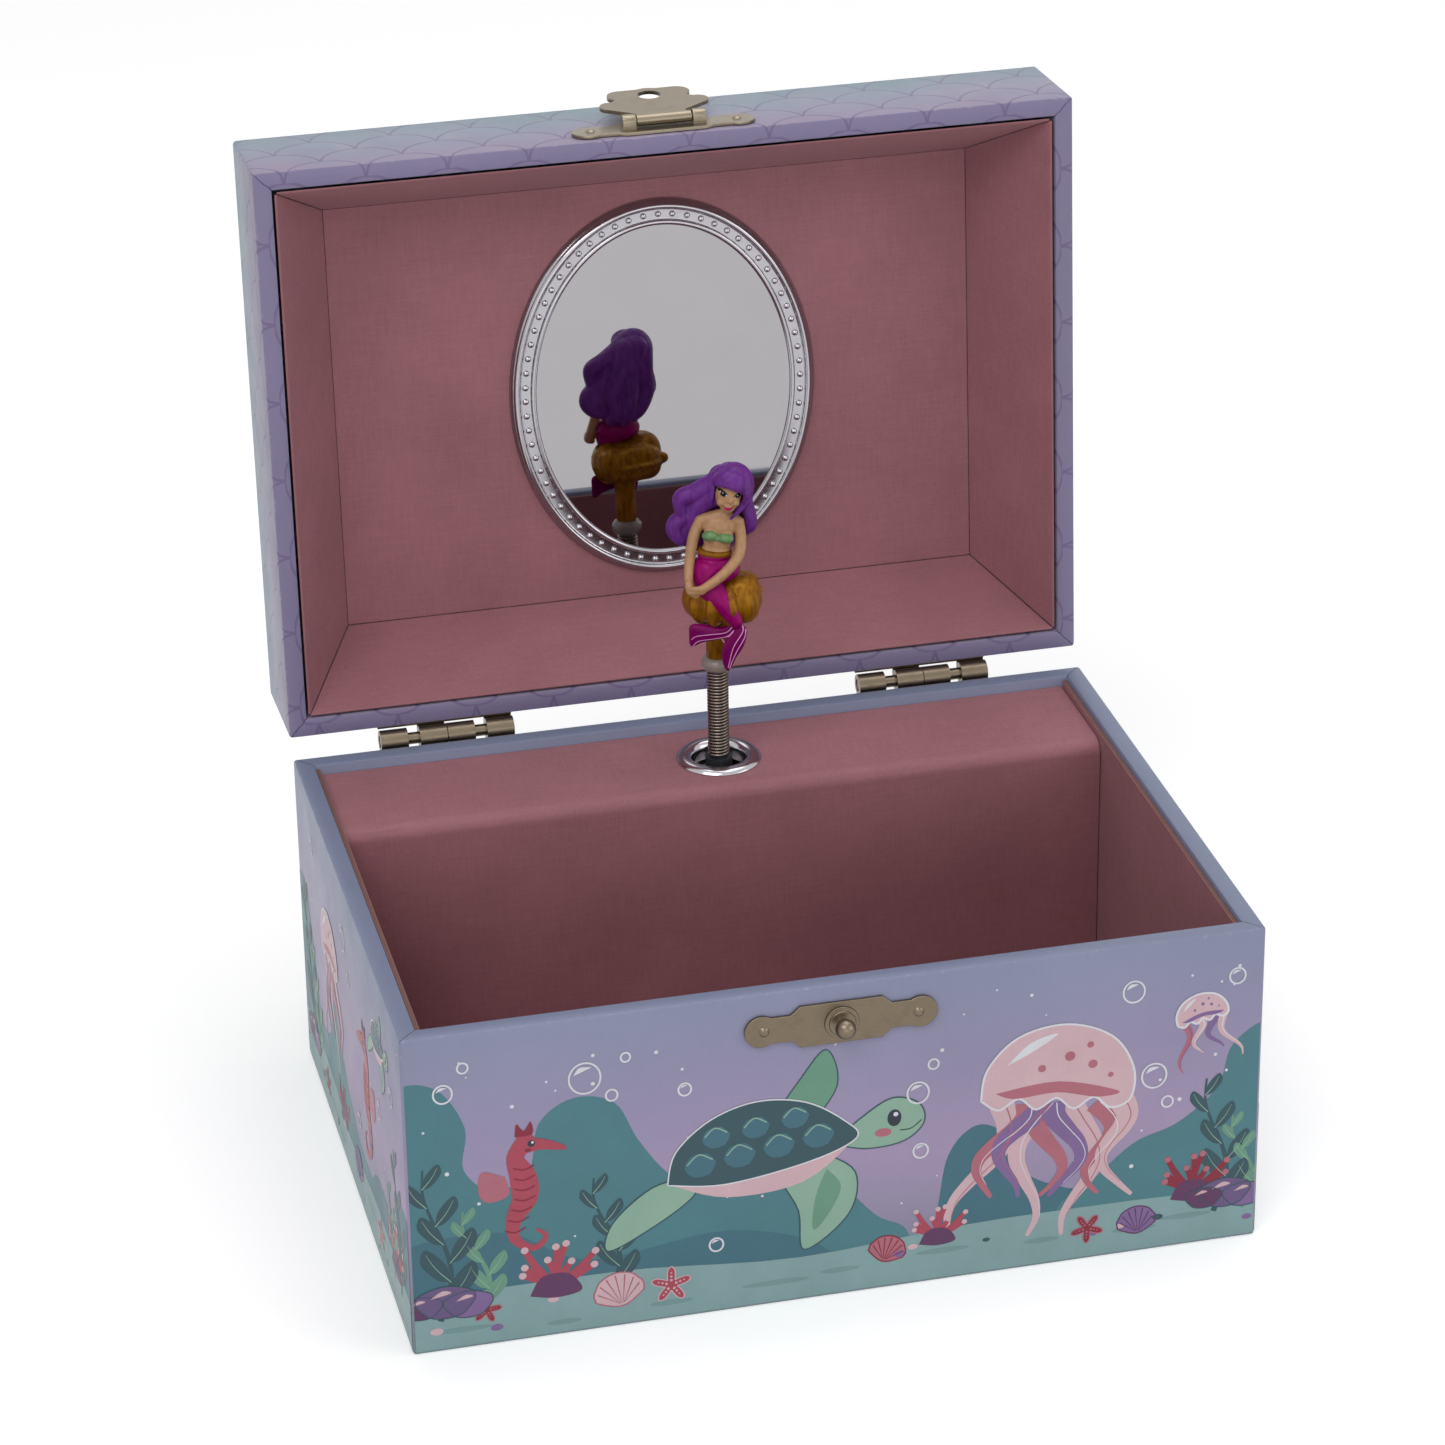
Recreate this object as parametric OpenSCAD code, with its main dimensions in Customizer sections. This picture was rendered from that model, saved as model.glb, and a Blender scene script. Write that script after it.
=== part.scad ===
// Musical jewellery box with an oval mirror in the lid, a hasp and ball catch,
// and a turning mermaid figure on a coil spring above a hidden musical movement.
// Frame: millimetres, +X right, +Y back, +Z up. The origin is the centre of the underside.

/* [Box] */
// Outer width of the box
box_w = 150; // [140:1:190]
// Outer depth of the box
box_d = 107; // [100:1:140]
// Height of the base
base_h = 61; // [61:1:80]
// Height of the lid
lid_h = 23; // [22:1:32]
// Thickness of the board walls
wall_t = 3.5; // [3:0.25:4.5]
// Thickness of the base floor board
floor_t = 3; // [2.5:0.25:4]
// Thickness of the lid's top board
top_t = 3; // [2.5:0.25:4]
// Gap between the closed lid's rim and the base's rim
rim_gap = 0.3; // [0.2:0.1:0.5]
// Angle that the lid stands open at
open_angle = 94; // [90:1:100]

/* [Lining] */
// Thickness of the lining card
card_t = 0.8; // [0.6:0.1:1]
// Gap between lining card and wall
card_gap = 0.2; // [0.1:0.05:0.4]
// Drop of the base lining's edge below the rim
lining_drop = 0.8; // [0.4:0.2:2]
// Width of the flat panel inside the lid
lid_panel_w = 120; // [100:1:124]
// Depth of the flat panel inside the lid
lid_panel_d = 80; // [76:1:84]

/* [Mechanism cover] */
// Depth of the ledge over the movement
ledge_d = 24.5; // [24:0.5:28]
// Drop of the ledge below the rim
ledge_drop = 2; // [1.5:0.25:3]
// Thickness of the ledge card
ledge_t = 1; // [0.8:0.1:1.4]
// Outer radius of the ledge's fold
ledge_r = 2.6; // [1.5:0.1:4]
// Outer diameter of the eyelet's flange
eyelet_od = 15.6; // [13:0.1:16.4]
// Diameter of the eyelet's hole
eyelet_id = 9.6; // [8:0.1:10.2]
// Length of the eyelet's tube
eyelet_len = 2.4; // [2:0.1:2.6]

/* [Hinges] */
// Length of each hinge
hinge_w = 25; // [22:1:30]
// Distance of the left hinge's centre from the middle of the box
hinge_left = 45.9; // [35:0.5:50]
// Distance of the right hinge's centre from the middle of the box
hinge_right = 44.8; // [35:0.5:50]
// Distance of the hinge axis behind the back wall
hinge_back = 2.5; // [2.3:0.1:3.2]
// Outer radius of the hinge barrel
barrel_r = 2.05; // [1.8:0.05:2.2]
// Thickness of the hinge leaf
leaf_t = 0.6; // [0.5:0.1:0.8]
// Height of the hinge leaf on the wall
leaf_h = 13; // [11:0.5:14]
// Radius of the hinge pin
hinge_pin_r = 1.1; // [0.9:0.05:1.2]
// Gap in the barrel where the pin shows
knuckle_gap = 2.1; // [1:0.1:3]

/* [Catch] */
// Length of the catch and hasp plates
plate_len = 33.5; // [30:0.5:38]
// Length of the plates' middle part
plate_mid = 17.5; // [15:0.5:20]
// Height of the catch plate's middle part
catch_mid_h = 7.8; // [7:0.1:9]
// Height of the hasp plate's middle part
hasp_mid_h = 6.4; // [6:0.1:7]
// Height of the rounded ends of the plates
plate_end_h = 5.9; // [5:0.1:6.4]
// Height of the plates' necks
plate_neck_h = 4.9; // [4:0.1:5.5]
// Thickness of the plates
plate_t = 0.6; // [0.5:0.1:0.8]
// Distance of the plates' pins from the middle
plate_pin_x = 13.4; // [12:0.1:14]
// Drop of the ball stud below the base's rim
stud_drop = 6.9; // [6:0.1:8]
// Radius of the ball
ball_r = 1.75; // [1.5:0.05:1.9]
// Reach of the ball's centre in front of the catch plate
ball_reach = 2.5; // [2.4:0.1:2.8]
// Distance from the hasp pin to the centre of the hasp's hole
hasp_reach = 11.5; // [11:0.1:12]
// Radius of the hole in the hasp
hasp_hole_r = 2.1; // [2.1:0.05:2.3]
// Thickness of the hasp leaf
hasp_t = 0.7; // [0.5:0.05:0.8]
// Distance of the hasp pin in front of the hasp plate
hasp_pin_out = 1.2; // [1.15:0.05:1.4]
// Radius of the hasp pin
hasp_pin_r = 0.45; // [0.4:0.05:0.5]
// Angle between the folded-back hasp and the lid's front
hasp_lean = 5; // [3:1:12]

/* [Mirror] */
// Width of the mirror frame's oval
mirror_w = 56.4; // [50:0.2:62]
// Height of the mirror frame's oval
mirror_h = 71.3; // [66:0.2:74]
// Width of the frame's border
mirror_border = 4.25; // [3.5:0.05:5]
// Thickness of the mirror frame
mirror_frame_t = 1.6; // [1.4:0.1:2]
// Thickness of the glass
glass_t = 1.1; // [0.9:0.1:1.2]
// Sideways place of the mirror's centre
mirror_x = 1.3; // [-5:0.1:5]

/* [Figure] */
// Sideways place of the figure's axis
axis_x = 1.2; // [-3:0.1:3]
// Distance of the figure's axis in front of the back wall's inner face
axis_in = 12.2; // [12:0.1:12.5]
// Outer radius of the coil spring
spring_r = 2; // [1.8:0.05:2.2]
// Radius of the spring's wire
wire_r = 0.315; // [0.3:0.005:0.35]
// Number of coils of the spring
coils = 28; // [22:1:30]
// Height of the bend in the spring above the ledge
bend_up = 7; // [6:0.5:8]
// Radius of the collar above the spring
collar_r = 2.9; // [2.7:0.05:3.4]
// Height of the collar
collar_h = 2.6; // [2.2:0.1:3.2]
// Radius of the clam seat's post
post_r = 2; // [1.8:0.05:2.2]
// Length of post that shows between the collar and the seat
post_show = 5.9; // [4:0.1:8]
// Height of the figure from its seat's underside to the top of its hair
figure_h = 31.7; // [28:0.1:34]
// Angle that the figure faces to the left of straight ahead
figure_turn = 13.3; // [0:0.1:30]

/* [Movement] */
// Width of the bedplate
bed_w = 44; // [43:0.5:48]
// Thickness of the bedplate
bed_t = 1.5; // [1.2:0.1:1.8]
// Radius of the spring housing
housing_r = 11; // [10.8:0.1:11.4]
// Height of the winding arbor above the underside
arbor_z = 16.5; // [16:0.1:17]
// Radius of the winding arbor
arbor_r = 1.5; // [1.2:0.05:1.6]
// Radius of the music drum
drum_r = 6.5; // [6:0.1:6.6]
// Number of tracks on the drum
tracks = 18; // [15:1:18]
// Radius of the drum's arbor
drum_arbor_r = 1; // [0.9:0.05:1.1]
// Length of the key's wings from tip to tip
key_w = 24; // [20:1:30]

/* [Hidden] */
$fn = 64;

// Clearances and small common sizes
run = 0.05;             // radial running clearance of a shaft in its bore
drive = 0.02;           // radial clearance round a nail, pin or screw driven into its hole
eps = 0.01;             // overshoot of a cut past the face it opens
nail_r = 0.6;
nail_head_r = 1.3;
nail_head_h = 0.5;
nail_len = 2.6;

// Faces of the box
half_w = box_w / 2;
half_d = box_d / 2;
in_w = box_w - 2 * wall_t;
in_back = half_d - wall_t;
rim_z = base_h + rim_gap;
lid_in_z = rim_z + lid_h - top_t;
panel_z = lid_in_z - card_t;
hinge_y = half_d + hinge_back;
hinge_z = base_h + rim_gap / 2;

// Compartment and ledge
lining_x = in_w / 2 - card_gap - card_t;
ledge_top = base_h - ledge_drop;
ledge_front = in_back - ledge_d;
ledge_w = 2 * (lining_x - card_gap);
axis_y = in_back - axis_in;
bend_z = ledge_top + bend_up;

// Catch and hasp
stud_z = base_h - stud_drop;
catch_face = half_d + plate_t;
collar_out = 0.7;
hasp_pin_y = -(catch_face + hasp_pin_out);
hasp_pin_z = stud_z + hasp_reach;
ear_in = 5.2;
ear_w = 2.4;
ear_r = 1.25;
hasp_barrel_r = 1.05;

// Spring and figure heights
hub_top = ledge_top + 0.5;
coil_pitch = 2 * wire_r * 0.985;
spring_top = hub_top + (coils - 1) * coil_pitch + 2 * wire_r;
plug_r = spring_r - 2 * wire_r - 0.1;
plug_len = 3.4;
spigot_r = plug_r - 0.45;
collar_z = spring_top + 0.1;
seat_z = collar_z + collar_h + post_show;
post_in = 3.5;
figure_scale = figure_h / 31.7;

// Movement
bed_back = in_back - 0.5;
bed_face = bed_back - bed_t;
bed_z = floor_t + 2.5;
bed_x = axis_x + 1;
gear_m = 0.5;
tooth_out = 0.42;
tooth_in = 0.55;
pinion_n = 12;
crown_n = 36;
wheel_n = 30;
gov_pinion_n = 10;
gov_wheel_n = 20;
worm_starts = 2;
pinion_rp = gear_m * pinion_n / 2;
crown_rp = gear_m * crown_n / 2;
wheel_rp = gear_m * wheel_n / 2;
gov_pinion_rp = gear_m * gov_pinion_n / 2;
gov_wheel_rp = gear_m * gov_wheel_n / 2;
worm_rp = 2;
crown_y = axis_y + pinion_rp;
crown_disc = crown_y + tooth_in;
crown_t = 0.8;
housing_y = crown_disc + crown_t + 0.3;
housing_t = 0.8;
pinion_z = arbor_z + crown_rp;
pinion_h = 1.6;
gear_t = 1;
arm_t = 1;
under_ledge = 2.1;
top_arm_z = ledge_top - ledge_t - under_ledge - arm_t;
worm_z = top_arm_z - 2.7;
gov_wheel_z = worm_z - gear_t / 2;
wheel_z = gov_wheel_z - 3;
drum_lo = pinion_z + 2.4;
drum_h = wheel_z - 1.2 - drum_lo;
drum_end = 0.8;
track_pitch = (drum_h - 2 * drum_end) / tracks;
drum_wall = 0.8;
pin_r = 0.25;
pin_out = 0.6;
gov_x = axis_x - wheel_rp - gov_pinion_rp;
worm_x = gov_x - gov_wheel_rp - worm_rp;
strap_z = pinion_z - pinion_h / 2 - 2.4;
strap_t = 1.2;
strap_in = housing_r + 0.9;
comb_t = 1;
comb_tip = drum_r + pin_out + 0.15;
comb_root = 13.5;
comb_end = 22;
comb_screw_in = 3;
screw_r = 0.8;
screw_head_r = 1.6;
screw_head_h = 1;
bed_h = top_arm_z + 0.6 - bed_z;
bed_screw_r = 1.1;
bed_screw_x = 18;
bed_screw_in = 5;
bed_screws = [[-bed_screw_x, bed_screw_in], [bed_screw_x, bed_screw_in], [bed_screw_x, bed_h - bed_screw_in]];
key_out = half_d + 1;
key_hub_r = 3.3;
key_hub_len = 8;
key_wing_r = 5;
key_wing_t = 1.8;

// Turns the lid, drawn closed, about the hinge axis to where it stands open.
module lid_open() {
    translate([0, hinge_y, hinge_z]) rotate([-open_angle, 0, 0]) translate([0, -hinge_y, -hinge_z])
        children();
}

// Turns the hasp leaf, drawn hanging closed, about its pin to where it is folded back.
module hasp_folded() {
    translate([0, hasp_pin_y, hasp_pin_z]) rotate([hasp_lean - 180, 0, 0])
        translate([0, -hasp_pin_y, -hasp_pin_z]) children();
}

// Cylinder along X, centred on the given x.
module rod_x(r, h) {
    rotate([0, 90, 0]) cylinder(r = r, h = h, center = true);
}

// Cylinder along +Y from its place.
module rod_y(r, h) {
    rotate([-90, 0, 0]) cylinder(r = r, h = h);
}

// Box given by its lowest and highest corners.
module block(lo, hi) {
    translate(lo) cube(hi - lo);
}

// Places of the two hinges along X.
module at_hinges() {
    for (x = [-hinge_left, hinge_right]) translate([x, 0, 0]) children();
}

// Places of the two nails of a leaf, from its middle.
module at_nails() {
    for (s = [-1, 1]) translate([s * hinge_w * 0.3, 0, 0]) children();
}

// Rail with rectangular section, open top and bottom: outer size less a wall.
module ring_wall(w, d, t, z0, z1) {
    difference() {
        block([-w / 2, -d / 2, z0], [w / 2, d / 2, z1]);
        block([-w / 2 + t, -d / 2 + t, z0 - 1], [w / 2 - t, d / 2 - t, z1 + 1]);
    }
}

// Fastener pointing along +Y: a shank, and a head in front of y = 0.
module fastener(shank_r, len, head_r, head_h, head_top_r) {
    translate([0, -head_h / 2, 0]) rod_y(shank_r, len + head_h / 2);
    rotate([90, 0, 0]) cylinder(r1 = head_r, r2 = head_top_r, h = head_h);
}

// Nail with a domed head.
module nail(len) {
    fastener(nail_r, len, nail_head_r, nail_head_h, nail_head_r * 0.55);
}

// Ellipse as a fine polygon.
module oval(rx, ry) {
    n = 96;
    polygon([for (i = [0:n - 1]) [rx * cos(360 * i / n), ry * sin(360 * i / n)]]);
}

// Straight-flanked spur wheel, teeth centred on +X at the start angle.
module spur(n, h, bore, start = 0, thick = 0.36) {
    rp = gear_m * n / 2;
    pitch = 360 / n;
    difference() {
        union() {
            cylinder(r = rp - tooth_in, h = h);
            for (i = [0:n - 1]) rotate([0, 0, start + i * pitch])
                linear_extrude(height = h)
                    polygon([[rp - tooth_in - 0.2, -thick * gear_m * 1.5], [rp + tooth_out, -thick * gear_m * 0.75],
                        [rp + tooth_out, thick * gear_m * 0.75], [rp - tooth_in - 0.2, thick * gear_m * 1.5]]);
        }
        translate([0, 0, -1]) cylinder(r = bore, h = h + 2);
    }
}

// ---- Base ----

module base_walls() {
    color([0.56, 0.58, 0.72]) difference() {
        ring_wall(box_w, box_d, wall_t, 0, base_h);
        // way through for the winding arbor
        translate([axis_x, in_back - 1, arbor_z]) rod_y(arbor_r + 1.5, wall_t + 2);
        // blind holes of the bedplate screws
        for (p = bed_screws) translate([bed_x + p[0], in_back - eps, bed_z + p[1]])
            rod_y(bed_screw_r + drive, 2.5 + eps);
        // blind holes of the hinge nails
        at_hinges() at_nails() translate([0, half_d - nail_len, hinge_z - leaf_h * 0.62])
            rod_y(nail_r + drive, nail_len + 1);
        // blind holes of the catch plate's pins and of the stud
        for (s = [-1, 1]) translate([s * plate_pin_x, -half_d - 1, stud_z])
            rod_y(nail_r + drive, nail_len + 1);
        translate([0, -half_d - 1, stud_z]) rod_y(1.2 + drive, nail_len + 1);
    }
}

module base_floor() {
    color([0.62, 0.60, 0.58])
        block([-in_w / 2, -in_back, 0], [in_w / 2, in_back, floor_t]);
}

module base_lining() {
    top = base_h - lining_drop;
    x = lining_x + card_t;
    color([0.60, 0.36, 0.39]) difference() {
        block([-x, -in_back + card_gap, floor_t], [x, in_back - card_gap, top]);
        block([-lining_x, -in_back + card_gap + card_t, floor_t - 1], [lining_x, in_back + 1, top + 1]);
    }
}

module compartment_floor() {
    color([0.50, 0.28, 0.32])
        block([-lining_x + card_gap, -in_back + 2 * card_gap + card_t, floor_t],
            [lining_x - card_gap, ledge_front - card_gap, floor_t + card_t]);
}

// Side view of the folded ledge card: upright front, rounded fold, flat top.
module ledge_outline() {
    inner_r = ledge_r - ledge_t;
    translate([ledge_front, floor_t]) square([ledge_t, ledge_top - floor_t - ledge_r]);
    translate([ledge_front + ledge_r, ledge_top - ledge_t]) square([ledge_d - ledge_r - card_gap, ledge_t]);
    translate([ledge_front + ledge_r, ledge_top - ledge_r]) intersection() {
        difference() {
            circle(r = ledge_r);
            circle(r = inner_r);
        }
        translate([-ledge_r, 0]) square(ledge_r);
    }
}

module mechanism_cover() {
    color([0.60, 0.36, 0.39]) difference() {
        translate([-ledge_w / 2, 0, 0]) rotate([90, 0, 90]) linear_extrude(height = ledge_w) ledge_outline();
        translate([axis_x, axis_y, ledge_top - ledge_t - 1])
            cylinder(r = eyelet_id / 2 + 0.5 + drive, h = ledge_t + 2);
    }
}

module eyelet() {
    tube_r = eyelet_id / 2 + 0.5;
    flange = eyelet_od / 2 - tube_r;
    color([0.80, 0.80, 0.82]) translate([axis_x, axis_y, ledge_top]) rotate_extrude() {
        translate([eyelet_id / 2, -eyelet_len]) square([0.5, eyelet_len + 0.3]);
        intersection() {
            translate([eyelet_id / 2 + (flange + 0.5) / 2, -0.75]) circle(r = (flange + 0.5) / 2 + 0.13);
            translate([eyelet_id / 2, 0]) square([flange + 0.5, 2]);
        }
    }
}

// ---- Hinges ----

// Length of one barrel knuckle: four knuckles and two open gaps fill the hinge.
function knuckle_len() = (hinge_w - 2 * knuckle_gap) / 4;

// Start of knuckle i (0 to 3) from the hinge's middle; a gap follows knuckles 0 and 2.
function knuckle_x(i) = -hinge_w / 2 + i * knuckle_len() + (i > 0 ? knuckle_gap : 0) + (i > 2 ? knuckle_gap : 0);

// Leaf with two knuckles, lying on the back wall; up = 1 for the lid's leaf, -1 for the base's.
module hinge_leaf(first, up) {
    side = 0.12;
    bend = barrel_r - leaf_t;
    difference() {
        union() {
            translate([-hinge_w / 2, half_d, up > 0 ? hinge_z + bend : hinge_z - leaf_h])
                cube([hinge_w, leaf_t, leaf_h - bend]);
            for (i = [first, first + 2]) translate([knuckle_x(i) + side / 2, 0, 0]) {
                translate([0, hinge_y, hinge_z]) rotate([0, 90, 0]) cylinder(r = barrel_r, h = knuckle_len() - side);
                translate([0, half_d, up > 0 ? hinge_z + bend : hinge_z - barrel_r])
                    cube([knuckle_len() - side, hinge_back, leaf_t]);
            }
        }
        translate([0, hinge_y, hinge_z]) rod_x(hinge_pin_r + run, hinge_w + 2);
        at_nails() translate([0, half_d - 1, hinge_z + up * leaf_h * 0.62])
            rod_y(nail_r + drive, leaf_t + 2);
    }
}

module hinge_nails(up) {
    at_hinges() at_nails() translate([0, half_d + leaf_t, hinge_z + up * leaf_h * 0.62])
        rotate([0, 0, 180]) nail(leaf_t + nail_len);
}

module base_hinge_leaves() {
    color([0.55, 0.50, 0.42]) at_hinges() hinge_leaf(0, -1);
}

module base_hinge_nails() {
    color([0.60, 0.56, 0.48]) hinge_nails(-1);
}

module hinge_pins() {
    color([0.50, 0.46, 0.38]) at_hinges() translate([0, hinge_y, hinge_z]) rod_x(hinge_pin_r, hinge_w - 0.4);
}

module lid_hinge_leaves() {
    color([0.55, 0.50, 0.42]) lid_open() at_hinges() hinge_leaf(1, 1);
}

module lid_hinge_nails() {
    color([0.60, 0.56, 0.48]) lid_open() hinge_nails(1);
}

// ---- Catch ----

// Outline of a catch or hasp plate: bevelled middle, necks and rounded ends.
module plate_outline(mid_h) {
    m = plate_mid / 2;
    bevel = 1.6;
    n = plate_neck_h / 2;
    polygon([[-m, -n], [-m + bevel, -mid_h / 2], [m - bevel, -mid_h / 2], [m, -n],
        [m, n], [m - bevel, mid_h / 2], [-m + bevel, mid_h / 2], [-m, n]]);
    square([plate_len - plate_end_h, plate_neck_h], center = true);
    for (s = [-1, 1]) translate([s * (plate_len - plate_end_h) / 2, 0]) circle(d = plate_end_h);
}

// Plate on the front face, standing plate_t in front of it, centred on height z.
module front_plate(mid_h, z) {
    difference() {
        translate([0, -half_d, z]) rotate([90, 0, 0]) linear_extrude(height = plate_t) plate_outline(mid_h);
        for (s = [-1, 1]) translate([s * plate_pin_x, -half_d - 2, z]) rod_y(nail_r + drive, 3);
    }
}

module plate_pins(z) {
    for (s = [-1, 1]) translate([s * plate_pin_x, -catch_face, z])
        fastener(nail_r, plate_t + nail_len - 1, 0.95, 0.4, 0.5);
}

module catch_plate() {
    color([0.56, 0.51, 0.44]) difference() {
        front_plate(catch_mid_h, stud_z);
        translate([0, -half_d - 2, stud_z]) rod_y(1.2 + drive, 3);
    }
}

module catch_plate_pins() {
    color([0.62, 0.58, 0.52]) plate_pins(stud_z);
}

module catch_stud() {
    color([0.62, 0.58, 0.52]) translate([0, -catch_face, stud_z]) rotate([90, 0, 0]) {
        translate([0, 0, -nail_len + 1]) cylinder(r = 1.2, h = nail_len);
        cylinder(r = 3, h = collar_out * 0.45);
        cylinder(r = 2.35, h = collar_out);
        cylinder(r = 1.2, h = ball_reach);
        translate([0, 0, ball_reach]) sphere(r = ball_r);
    }
}

module hasp_plate() {
    color([0.60, 0.57, 0.50]) lid_open() difference() {
        union() {
            front_plate(hasp_mid_h, hasp_pin_z);
            for (s = [-1, 1]) translate([s * (ear_in + ear_w / 2), 0, 0]) {
                translate([0, hasp_pin_y, hasp_pin_z]) rod_x(ear_r, ear_w);
                block([-ear_w / 2, hasp_pin_y, hasp_pin_z - ear_r], [ear_w / 2, -half_d - plate_t / 2, hasp_pin_z + ear_r]);
            }
        }
        translate([0, hasp_pin_y, hasp_pin_z]) rod_x(hasp_pin_r + drive, 2 * (ear_in + ear_w) + 1);
    }
}

module hasp_plate_pins() {
    color([0.62, 0.58, 0.52]) lid_open() plate_pins(hasp_pin_z);
}

module hasp_pin() {
    color([0.62, 0.58, 0.52]) lid_open() translate([0, hasp_pin_y, hasp_pin_z])
        rod_x(hasp_pin_r, 2 * (ear_in + ear_w));
}

// Shell-shaped outline of the hasp leaf, hanging down from the pin at the origin.
module hasp_outline() {
    neck = 4.6;
    lobe_x = 8.1;
    lobe_r = 1.9;
    lobe_v = 7.4;
    top_x = 5.2;
    top_r = 2.4;
    tip = hasp_reach + 3.1;
    polygon([[-neck, 0], [neck, 0], [neck, -2.6], [lobe_x + lobe_r * 0.7, -lobe_v + lobe_r * 0.72],
        [lobe_x, -lobe_v - lobe_r * 0.9], [top_x + top_r * 0.8, -lobe_v - 2.2], [top_x, -tip + top_r],
        [-top_x, -tip + top_r], [-top_x - top_r * 0.8, -lobe_v - 2.2], [-lobe_x, -lobe_v - lobe_r * 0.9],
        [-lobe_x - lobe_r * 0.7, -lobe_v + lobe_r * 0.72], [-neck, -2.6]]);
    for (s = [-1, 1]) {
        translate([s * lobe_x, -lobe_v]) circle(r = lobe_r);
        translate([s * top_x, -tip + top_r]) circle(r = top_r);
    }
    translate([0, -tip + 3.2]) intersection() {
        circle(r = 3.6);
        translate([-4, -4]) square([8, 4]);
    }
    translate([-top_x, -tip]) square([2 * top_x, top_r + eps]);
}

module hasp_leaf() {
    color([0.66, 0.63, 0.56]) lid_open() hasp_folded() translate([0, hasp_pin_y, hasp_pin_z]) difference() {
        union() {
            rod_x(hasp_barrel_r, 2 * ear_in - 0.5);
            translate([0, hasp_t / 2, 0]) rotate([90, 0, 0]) linear_extrude(height = hasp_t) hasp_outline();
        }
        rod_x(hasp_pin_r + run, 2 * ear_in + 2);
        translate([0, -hasp_t, -hasp_reach]) rod_y(hasp_hole_r, 2 * hasp_t);
    }
}

// ---- Lid ----

module lid_walls() {
    color([0.56, 0.53, 0.72]) lid_open() difference() {
        ring_wall(box_w, box_d, wall_t, rim_z, lid_in_z);
        at_hinges() at_nails() translate([0, half_d - nail_len, hinge_z + leaf_h * 0.62])
            rod_y(nail_r + drive, nail_len + 1);
        for (s = [-1, 1]) translate([s * plate_pin_x, -half_d - 1, hasp_pin_z])
            rod_y(nail_r + drive, nail_len + 1);
    }
}

module lid_top_board() {
    color([0.56, 0.60, 0.72]) lid_open()
        block([-half_w, -half_d, lid_in_z], [half_w, half_d, lid_in_z + top_t]);
}

// Upright trapezium from the rim to the lid's inner face, grown outward by the given amount.
module tray_side(rim_half, panel_half, grow, top) {
    polygon([[-rim_half - grow, rim_z - eps], [rim_half + grow, rim_z - eps],
        [panel_half + grow, top], [-panel_half - grow, top]]);
}

// Solid whose four sides slope inward from the rim to the panel.
module tray_solid(grow, top) {
    rim_x = in_w / 2 - card_gap - card_t;
    rim_y = in_back - card_gap - card_t;
    intersection() {
        translate([0, half_d, 0]) rotate([90, 0, 0]) linear_extrude(height = box_d)
            tray_side(rim_x, lid_panel_w / 2, grow, top);
        translate([-half_w, 0, 0]) rotate([90, 0, 90]) linear_extrude(height = box_w)
            tray_side(rim_y, lid_panel_d / 2, grow, top);
    }
}

module lid_lining() {
    color([0.58, 0.36, 0.39]) lid_open() difference() {
        intersection() {
            tray_solid(card_t, lid_in_z);
            block([-half_w, -half_d, rim_z + 0.4], [half_w, half_d, lid_in_z]);
        }
        tray_solid(0, panel_z);
    }
}

module mirror_glass() {
    rx = mirror_w / 2 - mirror_border + 0.6;
    ry = mirror_h / 2 - mirror_border + 0.6;
    color([0.75, 0.77, 0.80]) lid_open() translate([mirror_x, 0, panel_z - glass_t])
        linear_extrude(height = glass_t) oval(rx, ry);
}

module mirror_frame() {
    rx = mirror_w / 2;
    ry = mirror_h / 2;
    b = mirror_border;
    color([0.70, 0.70, 0.73]) lid_open() translate([mirror_x, 0, panel_z - mirror_frame_t]) difference() {
        linear_extrude(height = mirror_frame_t) oval(rx, ry);
        translate([0, 0, -1]) linear_extrude(height = mirror_frame_t + 2) oval(rx - b, ry - b);
        translate([0, 0, mirror_frame_t - glass_t - 0.1]) linear_extrude(height = glass_t + 1)
            oval(rx - b + 0.7, ry - b + 0.7);
        translate([0, 0, -1]) linear_extrude(height = 1.4) difference() {
            oval(rx - 0.9, ry - 0.9);
            oval(rx - b + 0.8, ry - b + 0.8);
        }
    }
}

// ---- Movement ----

module bedplate() {
    color([0.72, 0.60, 0.34]) difference() {
        block([bed_x - bed_w / 2, bed_face, bed_z], [bed_x + bed_w / 2, bed_back, bed_z + bed_h]);
        translate([axis_x, bed_face - 1, arbor_z]) rod_y(arbor_r + run, bed_t + 2);
        for (p = bed_screws) translate([bed_x + p[0], bed_face - 1, bed_z + p[1]])
            rod_y(bed_screw_r + drive, bed_t + 2);
        for (p = bracket_holes()) translate([p[0], bed_face - 1, p[1]]) rod_y(screw_r + drive, bed_t + 2);
        for (z = comb_holes()) translate([axis_x + comb_end - comb_screw_in, bed_face - 1, z])
            rod_y(screw_r + drive, bed_t + 2);
    }
}

module bedplate_screws() {
    color([0.70, 0.70, 0.70]) for (p = bed_screws) translate([bed_x + p[0], bed_face, bed_z + p[1]])
        difference() {
            fastener(bed_screw_r, bed_t + 0.5 + 2.4, 2, 1.2, 1.8);
            block([-2.5, -1.7, -0.3], [2.5, -0.7, 0.3]);
        }
}

module spring_housing() {
    color([0.70, 0.68, 0.66]) translate([axis_x, housing_y, arbor_z]) difference() {
        rod_y(housing_r, bed_face - housing_y);
        translate([0, housing_t, 0]) rod_y(housing_r - housing_t, bed_face);
        translate([0, -1, 0]) rod_y(arbor_r + run, housing_t + 2);
    }
}

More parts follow.
